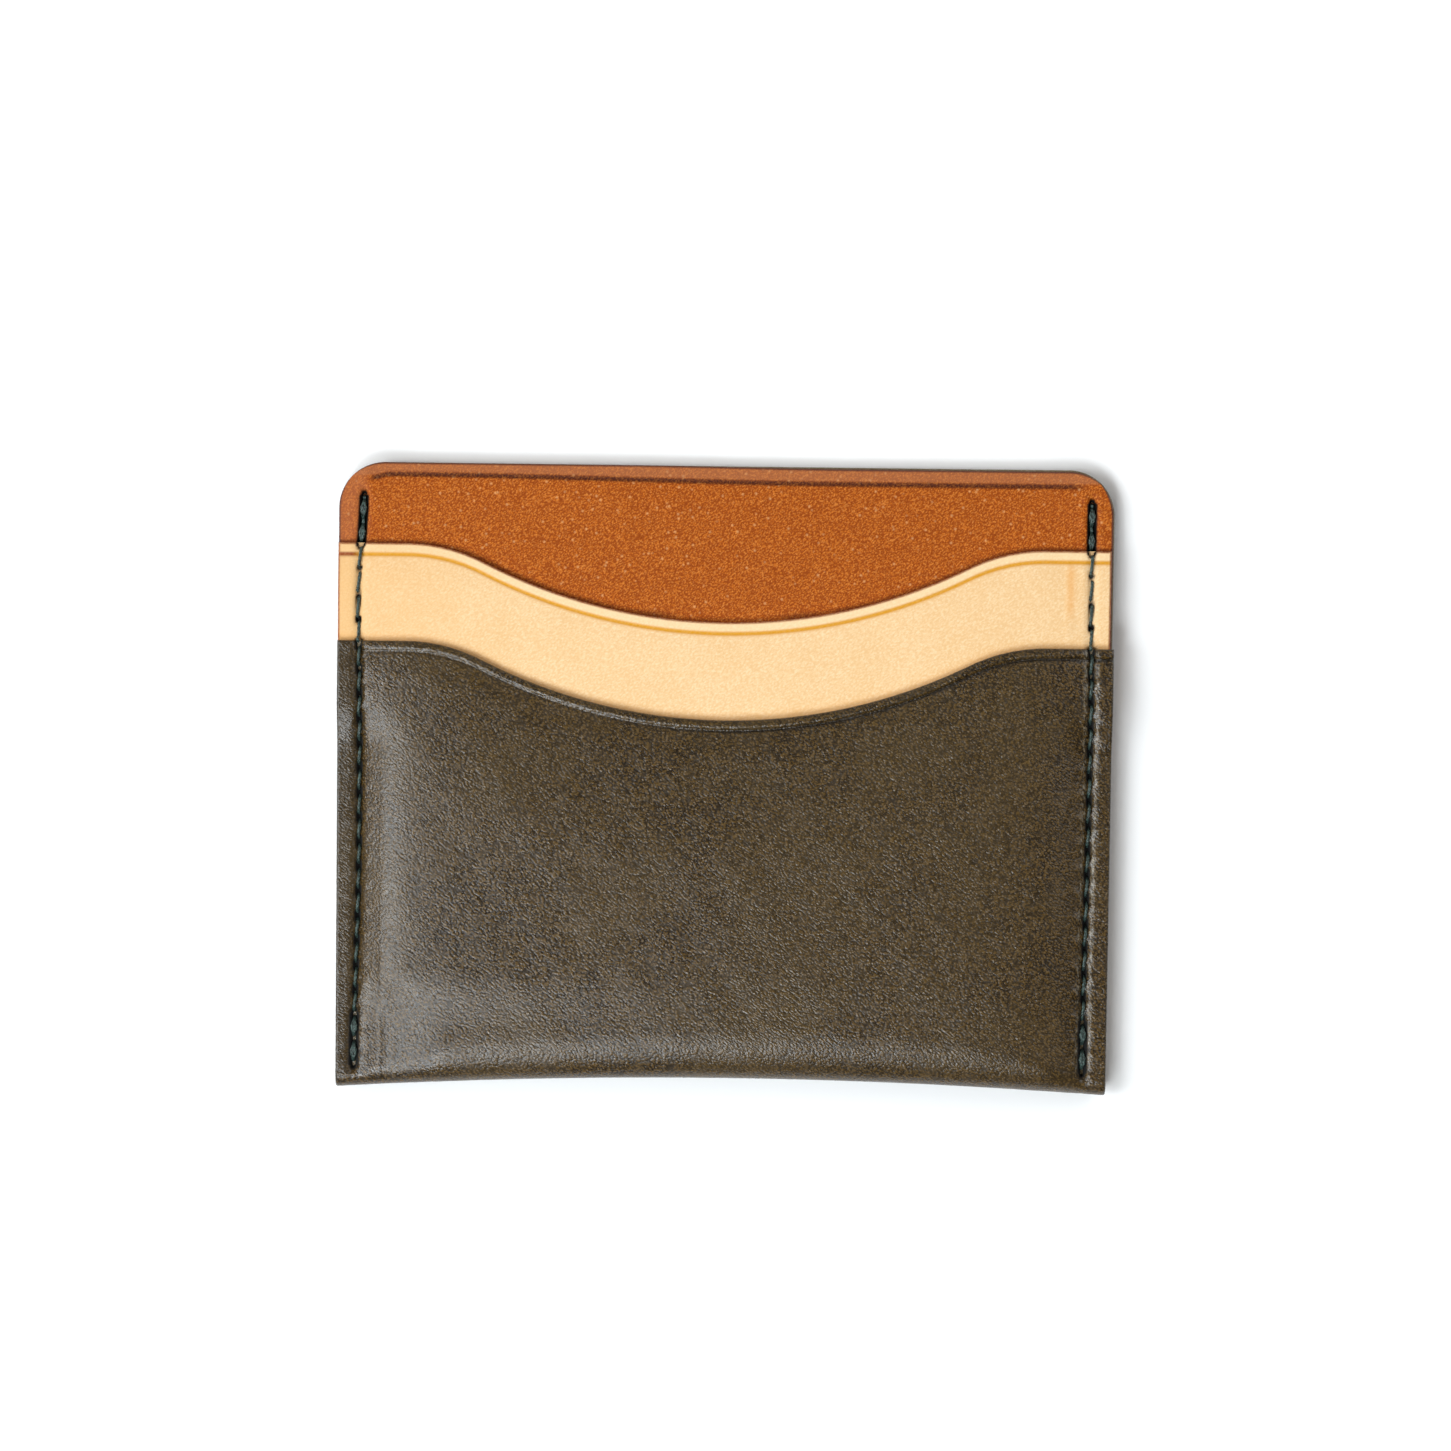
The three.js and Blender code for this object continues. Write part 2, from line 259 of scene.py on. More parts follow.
def front_under(x, height):
    """The front lies on the middle pocket's arms, drops beside its stem and under it."""
    open_z = back_under(x) + 3 * LEATHER
    for top in (HEIGHT, mouth(x, MIDDLE_TOP), mouth(x, FRONT_TOP)):
        open_z = open_z + pocket_gap(x, top - height)
    open_z = open_z - FRONT_SETTLED * settled_corner(x, height)
    on_margin = hump(np.clip(MARGIN_EDGE - np.abs(x), 0, None), 0, MARGIN_BLEND)
    drop = LEATHER * fade(ARM_STEP, height) * on_margin
    over_base = fade(SAG_TOP, height)
    sag = lerp(*SAG, smooth(*SAG_ALONG, x)) * over_base * (1 - on_margin)
    return open_z - drop - sag


def front_surface(x, height):
    """z of the leather that shows from the front at this place."""
    behind = np.where(
        height > mouth(x, MIDDLE_TOP), inner_under(x, height), middle_under(x, height)
    )
    return np.where(height > mouth(x, FRONT_TOP), behind, front_under(x, height)) + LEATHER


def back_surface(x, _height):
    return back_under(x)


# ---- Relief of the seams ----

VALLEY_DEPTH = 0.2  # the thread pulls the leather in along the whole seam
VALLEY_HALF = 0.62
DIMPLE_DEPTH = 0.9
DIMPLE_HALF = 0.36
HOLE_LENGTH_HALF = 0.84  # the holes are pulled longer in the front
MIDDLE_HOLE_LENGTH_HALF = 0.5
HOLE_SHADE_HALF = 0.44
TROUGH_DEPTH = 0.2
TACK_FADE = (0, 0.5)
SEAM_FADE = (0.4, 1.6)  # the relief ends this far past the first and last holes
PUCKER_SIZE = (0.1, 0.25)  # at the left and right seams
PUCKERS = ((0.8, 0.7), (-0.8, -0.6))  # places from each hole, across and along the seam
PUCKER_WIDTH = 0.3
PUCKER_LENGTH = 0.5
PUCKER_SLANT = 0.3
SWELL_SIZE = (0.02, 0.08)  # the margins swell between the stitches and the edge
SWELL = (-1.5, 0.95)  # distance from the seam, and width


def seam_distance(x, height):
    """Distance from the seam on the same side, positive towards the middle."""
    left = half_width(height) - seam_margin(-1, height) + x
    right = half_width(height) - seam_margin(1, height) - x
    return np.where(x < 0, left, right)


def hole_distance(height):
    step = (height - SEAM_START) / STITCH
    nearest = np.clip(np.round(step), 0, STITCHES)
    return (step - nearest) * STITCH


def hole_half_length(height):
    on_middle = (height > FRONT_TOP) & (height < MIDDLE_TOP)
    return np.where(on_middle, MIDDLE_HOLE_LENGTH_HALF, HOLE_LENGTH_HALF)


def between(low, high, ends, height):
    """1 from low to high; it fades over this pair of distances outside them."""
    near, far = ends
    started = smooth(low - far, low - near, height)
    return started * (1 - smooth(high + near, high + far, height))


def tack_share(height):
    """1 along the stitches at both ends of a side seam that are sewn over again."""
    low = SEAM_START + TACKED * STITCH
    high = SEAM_END - TACKED * STITCH
    low_tack = between(SEAM_START, low, TACK_FADE, height)
    return low_tack + between(high, SEAM_END, TACK_FADE, height)


def seam_relief(x, height, pucker_share=1.0):
    """Valley pulled in by the thread, a dimple at each hole and puckers between them."""
    across = seam_distance(x, height)
    along = hole_distance(height)
    valley = VALLEY_DEPTH * hump(across, 0, VALLEY_HALF)
    hole = flat_line(across, DIMPLE_HALF) * flat_line(along, hole_half_length(height))
    trough = TROUGH_DEPTH * hump(across, 0, TACK_HALF) * tack_share(height)
    pull = np.where(x < 0, *PUCKER_SIZE) * pucker_share
    slanted = across - PUCKER_SLANT * along
    pucker = 0
    for away, place in PUCKERS:
        ridge = hump(slanted, away, PUCKER_WIDTH) * hump(along, place, PUCKER_LENGTH)
        pucker = pucker + pull * ridge
    in_seam = between(SEAM_START, SEAM_END, SEAM_FADE, height)
    return in_seam * (pucker - valley - DIMPLE_DEPTH * hole - trough)


# painted shade: dark in the stitch holes and across the troughs of the tacked stitches
def hole_shade_mask(x, height):
    across = seam_distance(x, height)
    in_hole = flat_line(hole_distance(height), hole_half_length(height))
    hole = flat_line(across, HOLE_SHADE_HALF) * in_hole
    return np.maximum(hole, flat_line(across, TACK_HALF) * tack_share(height))


def margin_relief(x, height):
    return np.where(x < 0, *SWELL_SIZE) * hump(seam_distance(x, height), *SWELL)


# ---- Relief of the panels ----

SKIVE_DEPTH = 0.28  # a pocket's face is thinned towards its mouth
SKIVE_LENGTH = 5
LIP_AWAY = 2.2  # place and width of a crease's lip, in widths of its groove
LIP_WIDTH = 1.4
FRONT_CREASE_DEPTH = (0.09, 0.2)  # shallow on the left, where the leather is rubbed
FRONT_CREASE_DEEPENS = (-18, 8)
FRONT_CREASE = (0.22, 0.03)  # width, and height of its lip
FRONT_CREASE_STARTS = (-HALF + 2.6, -HALF + 3.2)
BEAD_HEIGHT = 0.2  # the leather between the front's mouth and its crease bulges
BEAD = (0.7, 0.5)  # distance from the mouth, and width

# lines that the edges of cards have pressed into the front
LEFT_RIDGE = (-43.75, 0.4)  # x and width
LEFT_RIDGE_HEIGHT = 0.035
LEFT_GROOVE = (-44.2, 0.2)
LEFT_GROOVE_DEPTH = 0.05
LEFT_PRINT_STARTS = (0.2, 1.5)
LEFT_PRINT_FADES = (14, 20)
LEFT_PRINT_FAINT = 0.25
LEFT_PRINT_ENDS = (54.5, 57)
RIGHT_RIDGE_HEIGHT = 0.05
RIGHT_RIDGE_WIDTH = 0.35
RIGHT_RIDGE_X = 40.2
RIGHT_RIDGE_SHIFT = 4.4  # to the right, between these heights
RIGHT_RIDGE_SHIFTS = (22, 42)
RIGHT_PRINT_STARTS = (9, 14)
RIGHT_PRINT_ENDS = (50, 55)

# unevenness: radians per mm
SLOW_WAVE_X = 0.31
SLOW_WAVE_HEIGHT = 0.23
QUICK_WAVE_X = 0.83
QUICK_WAVE_HEIGHT = 0.57
SLOW_SHARE = 0.6
FRONT_WAVES = (0.05, 1.0)  # size and seed
MIDDLE_WAVES = (0.03, 2.0)
INNER_WAVES = (0.03, 3.0)


def rim_profile(inset):
    """Share of the half thickness left at this distance from a cut edge."""
    inset = np.clip(inset, 0, EDGE_ROUND)
    drop = EDGE_ROUND - np.sqrt(EDGE_ROUND**2 - (EDGE_ROUND - inset) ** 2)
    return 1 - drop / (LEATHER / 2)


def skive(below_mouth):
    """How far the face of a pocket is thinned down towards its mouth."""
    return -SKIVE_DEPTH * (1 - smooth(0, SKIVE_LENGTH, below_mouth))


def crease(distance, depth, width, lip):
    """Depth of a pressed line: a groove with a slightly raised lip on its far side."""
    groove = -depth * hump(distance, 0, width)
    return groove + lip * hump(distance, -LIP_AWAY * width, LIP_WIDTH * width)


def unevenness(x, height, size, seed):
    """Slow, repeatable waves of this size."""
    slow = np.sin(x * SLOW_WAVE_X + seed) * np.sin(height * SLOW_WAVE_HEIGHT + 2 * seed)
    quick = np.sin(x * QUICK_WAVE_X + height * QUICK_WAVE_HEIGHT + 3 * seed)
    return size * lerp(quick, slow, SLOW_SHARE)


def card_prints(x, height):
    """Lines that cards have pressed into the front."""
    left = LEFT_RIDGE_HEIGHT * hump(x, *LEFT_RIDGE)
    left = left - LEFT_GROOVE_DEPTH * hump(x, *LEFT_GROOVE)
    clear = fade(LEFT_PRINT_FADES, height)
    left = left * lerp(LEFT_PRINT_FAINT, 1, clear) * smooth(*LEFT_PRINT_STARTS, height)
    left = left * fade(LEFT_PRINT_ENDS, height)
    right_x = RIGHT_RIDGE_X + RIGHT_RIDGE_SHIFT * smooth(*RIGHT_RIDGE_SHIFTS, height)
    right = RIGHT_RIDGE_HEIGHT * hump(x, right_x, RIGHT_RIDGE_WIDTH)
    right = right * smooth(*RIGHT_PRINT_STARTS, height)
    right = right * fade(RIGHT_PRINT_ENDS, height)
    return left + right


def front_relief(x, height):
    below = mouth(x, FRONT_TOP) - height
    depth = lerp(*FRONT_CREASE_DEPTH, smooth(*FRONT_CREASE_DEEPENS, x))
    line = crease(below - CREASE_IN, depth, *FRONT_CREASE)
    line = line + BEAD_HEIGHT * hump(below, *BEAD)
    relief = line * smooth(*FRONT_CREASE_STARTS, x)
    relief = relief + seam_relief(x, height) + card_prints(x, height)
    relief = relief + skive(below) + margin_relief(x, height)
    return relief + unevenness(x, height, *FRONT_WAVES) * opening(x)


# ---- Panel grids ----

# columns, as distances from the side edge: crowded at the cut edge, the seam and the
# lines pressed in by cards
RIM = [0.0, 0.03, 0.09, 0.18, EDGE_ROUND, 0.4]
MARGIN_COLUMNS = [0.8, 1.3, 1.75]
SEAM_COLUMNS = [SEAM_MARGIN + d for d in (-0.8, -0.52, -0.32, -0.14, 0, 0.14, 0.32, 0.52, 0.8)]
PRINT_COLUMNS = [4.0, 4.3, 4.7, 5.1, 5.45, 5.7, 5.82, 5.92, 6.02, 6.15, 6.4, 6.8, 7.3, 7.9, 8.8]
OPEN_COLUMNS = list(np.linspace(10, HALF, 27))
COLUMNS = np.array(RIM + MARGIN_COLUMNS + SEAM_COLUMNS + PRINT_COLUMNS + OPEN_COLUMNS)
COLUMN_INSETS = np.concatenate([COLUMNS, COLUMNS[-2::-1]])
WANDER_STARTS = (0.3, 2.0)  # columns between these pairs follow the line of stitches
WANDER_ENDS = (3.9, 5.4)

# rows, as distances from a stitch hole or down from a cut edge
FINE = (-1.2, -0.82, -0.54, -0.32, -0.12, 0.12, 0.32, 0.54, 0.82, 1.2, 1.585)
COARSE = (-0.8, -0.4, -0.13, 0.13, 0.4, 0.8, 1.585)
CORNER_ROWS = [0.6, 0.9, 1.2, 1.5, 1.9, 2.3, 2.7]
CREASE_ROWS = [3.2, 2.7, 2.3, 2.0, 1.8, 1.65, 1.52, 1.42, 1.34, 1.26, 1.16, 1.04, 0.9, 0.7, 0.5]
LEAST_STEP = 0.06

CUT_FADE = (0.12, 0.36)  # the colour of the cut edge ends here, from the edge

# One stretch of a panel, by rows and columns: points in the middle of the leather,
# directions out of its face, distances from the cut edges, relief and masks.
Sheet = namedtuple("Sheet", "middle out inset relief masks")


def columns(height, right_in=0.0):
    """x of each grid column at these heights: the columns beside a seam follow it."""
    sides = []
    for side in (-1, 1):
        reach = half_width(height)[:, None] - (right_in if side > 0 else 0.0)
        wander = (seam_margin(side, height) - SEAM_MARGIN)[:, None]
        weight = smooth(*WANDER_STARTS, COLUMNS) * fade(WANDER_ENDS, COLUMNS)
        away = reach - (COLUMNS[None, :] + wander * weight[None, :])
        away[:, -1] = 0.0
        sides.append(side * away)
    return np.concatenate([sides[0], sides[1][:, -2::-1]], axis=1)


def stitch_rows(low, high, offsets, gap=None):
    """Heights from low to high, crowded at the stitch holes."""
    heights = [low, high]
    for hole in HOLE_HEIGHTS:
        heights += [hole + d for d in offsets if low < hole + d < high]
    if gap:
        heights += list(np.arange(low, high, gap))
    heights = sorted(heights)
    kept = [heights[0]]
    for value in heights[1:]:
        if value - kept[-1] > LEAST_STEP:
            kept.append(value)
    kept[-1] = high
    return np.array(kept)


def insets(from_ends):
    """Distance of each point from the nearest cut edge, from that of its row."""
    return np.minimum(COLUMN_INSETS[None, :], from_ends[:, None])


def flat_sheet(x, height, inset, under, relief, masks, facing=1):
    """A stretch whose face looks up, or down where facing is -1.

    under, relief and masks are functions of x and height."""
    middle = np.stack([x, height, under(x, height) + LEATHER / 2], -1)
    out = np.zeros_like(middle)
    out[..., 2] = facing
    return Sheet(middle, out, inset, relief(x, height), masks(x, height))


def join_sheets(sheets):
    """One sheet from stretches in a row; a mask is 0 where a stretch lacks it."""
    joined = [np.concatenate(arrays) for arrays in zip(*(sheet[:4] for sheet in sheets))]
    names = dict.fromkeys(name for sheet in sheets for name in sheet.masks)
    masks = {}
    for name in names:
        parts = [sheet.masks.get(name, np.zeros_like(sheet.relief)) for sheet in sheets]
        masks[name] = np.concatenate(parts)
    return Sheet(*joined, masks)


def grid_faces(rows, cols):
    """Faces of a closed mesh of two grids: the outer points first, then the inner."""
    half = rows * cols
    index = np.arange(half).reshape(rows, cols)
    a, b = index[:-1, :-1].ravel(), index[:-1, 1:].ravel()
    c, d = index[1:, 1:].ravel(), index[1:, :-1].ravel()
    outer = np.stack([a, b, c, d], 1)
    inner = np.stack([d, c, b, a], 1) + half
    border = np.concatenate(
        [index[0, :-1], index[:-1, -1], index[-1, :0:-1], index[:0:-1, 0]]
    )
    after = np.roll(border, -1)
    rim = np.stack([border, border + half, after + half, after], 1)
    return np.concatenate([outer, inner, rim])


def smooth_piece(name, points, faces):
    """An object with smooth shading from points in mm, whose Y is a height."""
    lowered = points - (0, HEIGHT / 2, 0)
    mesh = bpy.data.meshes.new(name)
    mesh.from_pydata((lowered * MM).tolist(), [], faces)
    mesh.polygons.foreach_set("use_smooth", np.ones(len(mesh.polygons), bool))
    mesh.update()
    return add_object(name, mesh)


def leather_piece(name, sheet):
    """A panel with rounded cut edges; its masks are on its face only."""
    half_leather = LEATHER / 2 * rim_profile(sheet.inset)
    outer = sheet.middle + sheet.out * (half_leather + sheet.relief)[..., None]
    inner = sheet.middle - sheet.out * half_leather[..., None]
    points = np.concatenate([outer.reshape(-1, 3), inner.reshape(-1, 3)])
    piece = smooth_piece(name, points, grid_faces(*sheet.relief.shape).tolist())
    zero = np.zeros_like(sheet.relief)
    cut = fade(CUT_FADE, sheet.inset)
    sides = {mask: (value, zero) for mask, value in sheet.masks.items()}
    sides["cut_edge"] = (cut, cut)
    sides["flesh"] = (zero, zero + 1)
    for mask, (on_outer, on_inner) in sides.items():
        values = np.concatenate([on_outer.ravel(), on_inner.ravel()]).astype(np.float32)
        attribute = piece.data.attributes.new(mask, "FLOAT", "POINT")
        attribute.data.foreach_set("value", values)
    return piece


# ---- Outer shell ----

BACK_START = 6.0  # height that the back's rows are counted from
FOLD_ROWS = 25
FOLD_SQUARE = 8  # how abruptly the fold tightens beside the margins
ABOVE_CREASE = CREASE_ROWS[0] + 0.1
WELL_INSIDE = 9.0  # any distance that is far from the cut edges

LINE_HALF = 0.2  # the dark line in the front's crease: the crease's own darker tone, with painted shade
LINE_SHIFT = 0.1
LINE_STARTS = (-47.4, -46.8)
LINE_FAINT = 0.35  # on the left, which faces the lights, less shade is painted
# the painted shade in the crease darkens towards the right, away from the lights
LINE_DARKENS = (-22, 4)
MARGIN_SHADE_FADE = (-0.6, 0.2)  # the painted shade on the left margin ends here, from the seam
SEAM_HIGHLIGHTS = (0.72, 0.26)  # painted highlight: distance from the right seam, on both sides of it, and width
SEAM_HIGHLIGHT_STARTS = (2.5, 4.5)


def fold_reach(x):
    """Length of the fold along Y."""
    middle_share = opening(x) * (1 - (x / HALF) ** FOLD_SQUARE)
    return lerp(FOLD_REACH_SIDE, FOLD_REACH_MIDDLE, middle_share)


def fold_top(x):
    """Height where the fold meets the back and the front."""
    return FOLD_RISE * (1 - (x / HALF) ** 2) + fold_reach(x)


def back_masks(x, height):
    return {"hole": hole_shade_mask(x, height)}


def shell_back():
    tops = [HEIGHT - d for d in RIM + CORNER_ROWS]
    spread = stitch_rows(BACK_START, HEIGHT, COARSE)[::-1]
    rows = np.array(tops + [row for row in spread if row < tops[-1] - 0.1])
    x = columns(rows)
    share = (rows[:, None] - BACK_START) / (HEIGHT - BACK_START)
    x, height = rounded_corners(x, lerp(fold_top(x), HEIGHT, share))
    inset = insets(HEIGHT - rows)
    return flat_sheet(x, height, inset, back_surface, seam_relief, back_masks, facing=-1)


def shell_fold():
    """Half an ellipse from the back round to the front, without its two ends."""
    turn = (np.linspace(-0.5, 0.5, FOLD_ROWS) * math.pi)[1:-1, None]
    x = columns(np.full(len(turn), FOLD_REACH_SIDE))
    z_back = back_under(x) + LEATHER / 2
    z_front = front_under(x, fold_top(x)) + LEATHER / 2
    half_z = (z_front - z_back) / 2
    half_y = fold_reach(x) - LEATHER / 2
    height = fold_top(x) - half_y * np.cos(turn)
    middle = np.stack([x, height, (z_front + z_back) / 2 + half_z * np.sin(turn)], -1)
    out_y = -half_z * np.cos(turn)
    out_z = half_y * np.sin(turn)
    out = np.stack([np.zeros_like(x), out_y, out_z], -1) / np.hypot(out_y, out_z)[..., None]
    relief = np.clip(np.sin(turn), 0, 1) * front_relief(x, height)
    return Sheet(middle, out, insets(np.full(len(turn), WELL_INSIDE)), relief, {})


def front_masks(x, height):
    below = mouth(x, FRONT_TOP) - height
    line = flat_line(below - CREASE_IN - LINE_SHIFT, LINE_HALF) * smooth(*LINE_STARTS, x)
    across = seam_distance(x, height)
    # painted highlight on both sides of the right seam
    beside_seam = hump(np.abs(across), *SEAM_HIGHLIGHTS) * (x > 0)
    return {
        "hole": hole_shade_mask(x, height),
        "crease": line * lerp(LINE_FAINT, 1.0, smooth(*LINE_DARKENS, x)),
        # painted shade on the left margin, outside the seam
        "margin": fade(MARGIN_SHADE_FADE, across) * (x < 0),
        "scuff": beside_seam * smooth(*SEAM_HIGHLIGHT_STARTS, height),
    }


def shell_front():
    low = stitch_rows(FOLD_REACH_SIDE, FRONT_TOP - ABOVE_CREASE, FINE)
    low_x = columns(low)
    low_end = mouth(low_x, FRONT_TOP) - ABOVE_CREASE
    low_height = lerp(fold_top(low_x), low_end, share_of(low))
    drops = np.array(CREASE_ROWS + RIM[::-1])
    high_x = columns(FRONT_TOP - drops)
    high_height = mouth(high_x, FRONT_TOP) - drops[:, None]
    x = np.concatenate([low_x, high_x])
    height = np.concatenate([low_height, high_height])
    inset = insets(np.concatenate([np.full(len(low), WELL_INSIDE), drops]))
    return flat_sheet(x, height, inset, front_under, front_relief, front_masks)


def shell_piece():
    """Down the back, round the fold and up the front."""
    return leather_piece("olive_shell", join_sheets([shell_back(), shell_fold(), shell_front()]))


# ---- Middle pocket ----

STEM_ROWS = 26
MIDDLE_ROWS = [9.0, 7.0, 5.5, 4.4] + CREASE_ROWS  # down from the mouth
ARMS_END = MIDDLE_TOP - MIDDLE_ROWS[0] - 0.5
MIDDLE_CREASE = (0.08, 0.24, 0.02)  # depth, width, and height of its lip
MIDDLE_PUCKER = 0.4
MIDDLE_PRINT_HEIGHT = 0.04
MIDDLE_PRINT = (43.9, 0.35)  # x and width
MIDDLE_PRINT_STARTS = (55, 60)

# places of the colours on its face
MIDDLE_LINE_HALF = 0.29
MIDDLE_STRIP_ENDS = (1.0, 1.3)
TOAST_FADES = (-48.2, -46.9)
MIDDLE_SIDE_FADES = (-46.9, -46.2)
TAN_FADES = (-46.0, -24.0)
MIDDLE_SHADE_FADES = (0.0, 1.3)
ORANGE_STREAK = (44.2, 0.5)  # an orange streak beside the line pressed into the pocket: x and width
ORANGE_STREAK_STARTS = (60, 63)
ORANGE_STREAK_ENDS = (67, 69)


def middle_masks(x, height):
    below = mouth(x, MIDDLE_TOP) - height
    above_front = height - mouth(x, FRONT_TOP)
    rub = hump(x, *ORANGE_STREAK) * smooth(*ORANGE_STREAK_STARTS, height)
    return {
        "hole": hole_shade_mask(x, height),
        "crease": flat_line(below - MIDDLE_CREASE_IN, MIDDLE_LINE_HALF),
        "strip": fade(MIDDLE_STRIP_ENDS, below),
        "toast": fade(TOAST_FADES, x),
        "side": fade(MIDDLE_SIDE_FADES, x),
        "tan": fade(TAN_FADES, x),
        "shade": fade(MIDDLE_SHADE_FADES, above_front),
        "rub": rub * fade(ORANGE_STREAK_ENDS, height),
    }


def middle_relief(x, height):
    below = mouth(x, MIDDLE_TOP) - height
    relief = crease(below - MIDDLE_CREASE_IN, *MIDDLE_CREASE)
    relief = relief + seam_relief(x, height, MIDDLE_PUCKER)
    card_print = MIDDLE_PRINT_HEIGHT * hump(x, *MIDDLE_PRINT)
    relief = relief + skive(below) + card_print * smooth(*MIDDLE_PRINT_STARTS, height)
    return relief + unevenness(x, height, *MIDDLE_WAVES)


def middle_piece():
    """A stem that hangs between the cards, two arms to the seams, and the mouth."""
    drops = np.array(MIDDLE_ROWS + RIM[::-1])
    arms = stitch_rows(ARM_BASE, ARMS_END, FINE)
    stem_base = [MIDDLE_BASE + d for d in RIM]
    stem = np.linspace(MIDDLE_BASE + 1, ARM_BASE - 0.1, STEM_ROWS)
    low = np.concatenate([stem_base, stem, arms])
    low_x = columns(low, MIDDLE_IN)
    narrow = STEM_HALF / np.abs(low_x[:, :1])
    low_x = np.where(low[:, None] < ARM_BASE, low_x * narrow, low_x)
    low_end = mouth(low_x, MIDDLE_TOP) - drops[0] - 0.3
    low_height = lerp(MIDDLE_BASE, low_end, share_of(low))
    high_x = columns(MIDDLE_TOP - drops, MIDDLE_IN)
    high_height = mouth(high_x, MIDDLE_TOP) - drops[:, None]
    x = np.concatenate([low_x, high_x])
    height = np.concatenate([low_height, high_height])
    inset = insets(np.concatenate([np.minimum(low - MIDDLE_BASE, WELL_INSIDE), drops]))
    sheet = flat_sheet(x, height, inset, middle_under, middle_relief, middle_masks)
    return leather_piece("natural_pocket", sheet)


# ---- Inner panel ----

SHOWS_FROM = 62.0  # the middle pocket hides the panel below this height
TOP_ROWS = [3.2, 2.8, *np.arange(2.5, 1.1, -0.12), 0.9, 0.6]  # down from the top
SHOWN_END = HEIGHT - TOP_ROWS[0] - 0.4
HIDDEN_ROWS = 36
SHOWN_STEP = 0.8

INNER_SKIVE = 0.5  # its top is thinned by half as much as a pocket's
INNER_CREASE = (0.1, 0.24, 0.0)
INNER_CREASE_IN = 1.62  # from the top edge; the line bends down at both ends
LINE_CURL = 0.5
LINE_CURLS = (-46, -43.4)
LINE_LEAN = 0.6
LINE_LEANS = (-40, 15)
INNER_LINE_STARTS = (-46.2, -45.4)
INNER_LINE_ENDS = (44.0, 46.8)
INNER_LINE_HALF = 0.34
INNER_STRIP_STARTS = (0.2, 0.5)
INNER_SIDE_FADES = (-47.2, -45.6)
INNER_SHADE_FADES = (0.0, 0.5)


def from_line(x, height):
    """Distance above the line pressed along the panel's top."""
    curl = LINE_CURL * fade(LINE_CURLS, x)
    lean = LINE_LEAN * smooth(*LINE_LEANS, x)
    return height - (HEIGHT - INNER_CREASE_IN - curl - lean)


def line_strength(x):
    return smooth(*INNER_LINE_STARTS, x) * fade(INNER_LINE_ENDS, x)


def inner_masks(x, height):
    above_middle = height - mouth(x, MIDDLE_TOP)
    above_line = from_line(x, height)
    return {
        "hole": hole_shade_mask(x, height),
        "crease": flat_line(above_line, INNER_LINE_HALF) * line_strength(x),
        "strip": smooth(*INNER_STRIP_STARTS, above_line),
        "side": fade(INNER_SIDE_FADES, x),
        "shade": fade(INNER_SHADE_FADES, above_middle),
    }


def inner_relief(x, height):
    line = crease(from_line(x, height), *INNER_CREASE)
    relief = line * line_strength(x) + seam_relief(x, height)
    relief = relief + INNER_SKIVE * skive(HEIGHT - height)
    return relief + unevenness(x, height, *INNER_WAVES)


def inner_piece():
    shown = stitch_rows(SHOWS_FROM, SHOWN_END, FINE, SHOWN_STEP)
    base = [INNER_BASE + d for d in RIM]
    hidden = np.linspace(INNER_BASE + 1, SHOWS_FROM - 1, HIDDEN_ROWS)
    tops = HEIGHT - np.array(TOP_ROWS + RIM[::-1])
    rows = np.concatenate([base, hidden, shown, tops])
    x = columns(rows, INNER_IN)
    x, height = rounded_corners(x, np.broadcast_to(rows[:, None], x.shape))
    lean = lerp(*INNER_LEAN, smooth(*INNER_LEAN_X, x))
    height = height - lean * smooth(INNER_LEAN_FROM, HEIGHT, height)
    inset = insets(np.minimum(rows - INNER_BASE, HEIGHT - rows))
    sheet = flat_sheet(x, height, inset, inner_under, inner_relief, inner_masks)
    return leather_piece("brown_panel", sheet)


# ---- Thread ----

THREAD_RADIUS = 0.22
PLY_RADIUS = 0.13
PLIES = 3
PLY_SIDES = 7
TWIST_LENGTH = 1.7
THREAD_STEP = 0.1
ROUNDINGS = 5

THREAD_DIP = 1.3  # how deep the thread goes at a hole, below the leather's face
DIP_STEEP = 0.25
STITCH_POINTS = 15
OPEN_SPAN = (0.8, 0.1)  # a stitch starts this far from its hole and arches this high
MIDDLE_SPAN = (0.48, -0.08)  # on the middle pocket
STITCH_END_SINK = 0.2
STITCH_SLANT = 0.2
SURFACE_SEARCH = (-0.3, 0, 0.3)  # the thread lies on the highest leather within this

BASE_SPAN = 0.28
BASE_POINTS = 9
BASE_ARCH = 0.2
BASE_SINK = 0.05
BASE_DIP = 0.7


def path_frame(path):
    """Two directions across the path at each of its points."""
    along = np.gradient(path, axis=0)
    along /= np.linalg.norm(along, axis=1)[:, None]
    side = np.array([1.0, 0.0, 0.0])
    normals = []
    for step in along:
        side = side - step * np.dot(side, step)
        side = side / np.linalg.norm(side)
        normals.append(side)
    normals = np.array(normals)
    return normals, np.cross(along, normals)


def ply_rings(path):
    normals, binormals = path_frame(path)
    turn = np.linspace(0, 2 * math.pi, PLY_SIDES, endpoint=False)
    ring = normals[:, None] * np.cos(turn)[None, :, None]
    ring = ring + binormals[:, None] * np.sin(turn)[None, :, None]
    return path[:, None] + ring * PLY_RADIUS


def tube_faces(rings, sides, start):
    faces = []
    for ring in range(start, start + (rings - 1) * sides, sides):
        for k in range(sides):
            a = ring + k
            b = ring + (k + 1) % sides
            faces.append((a, b, b + sides, a + sides))
    last = start + (rings - 1) * sides
    faces.append(tuple(range(start + sides - 1, start - 1, -1)))
    faces.append(tuple(range(last, last + sides)))
    return faces


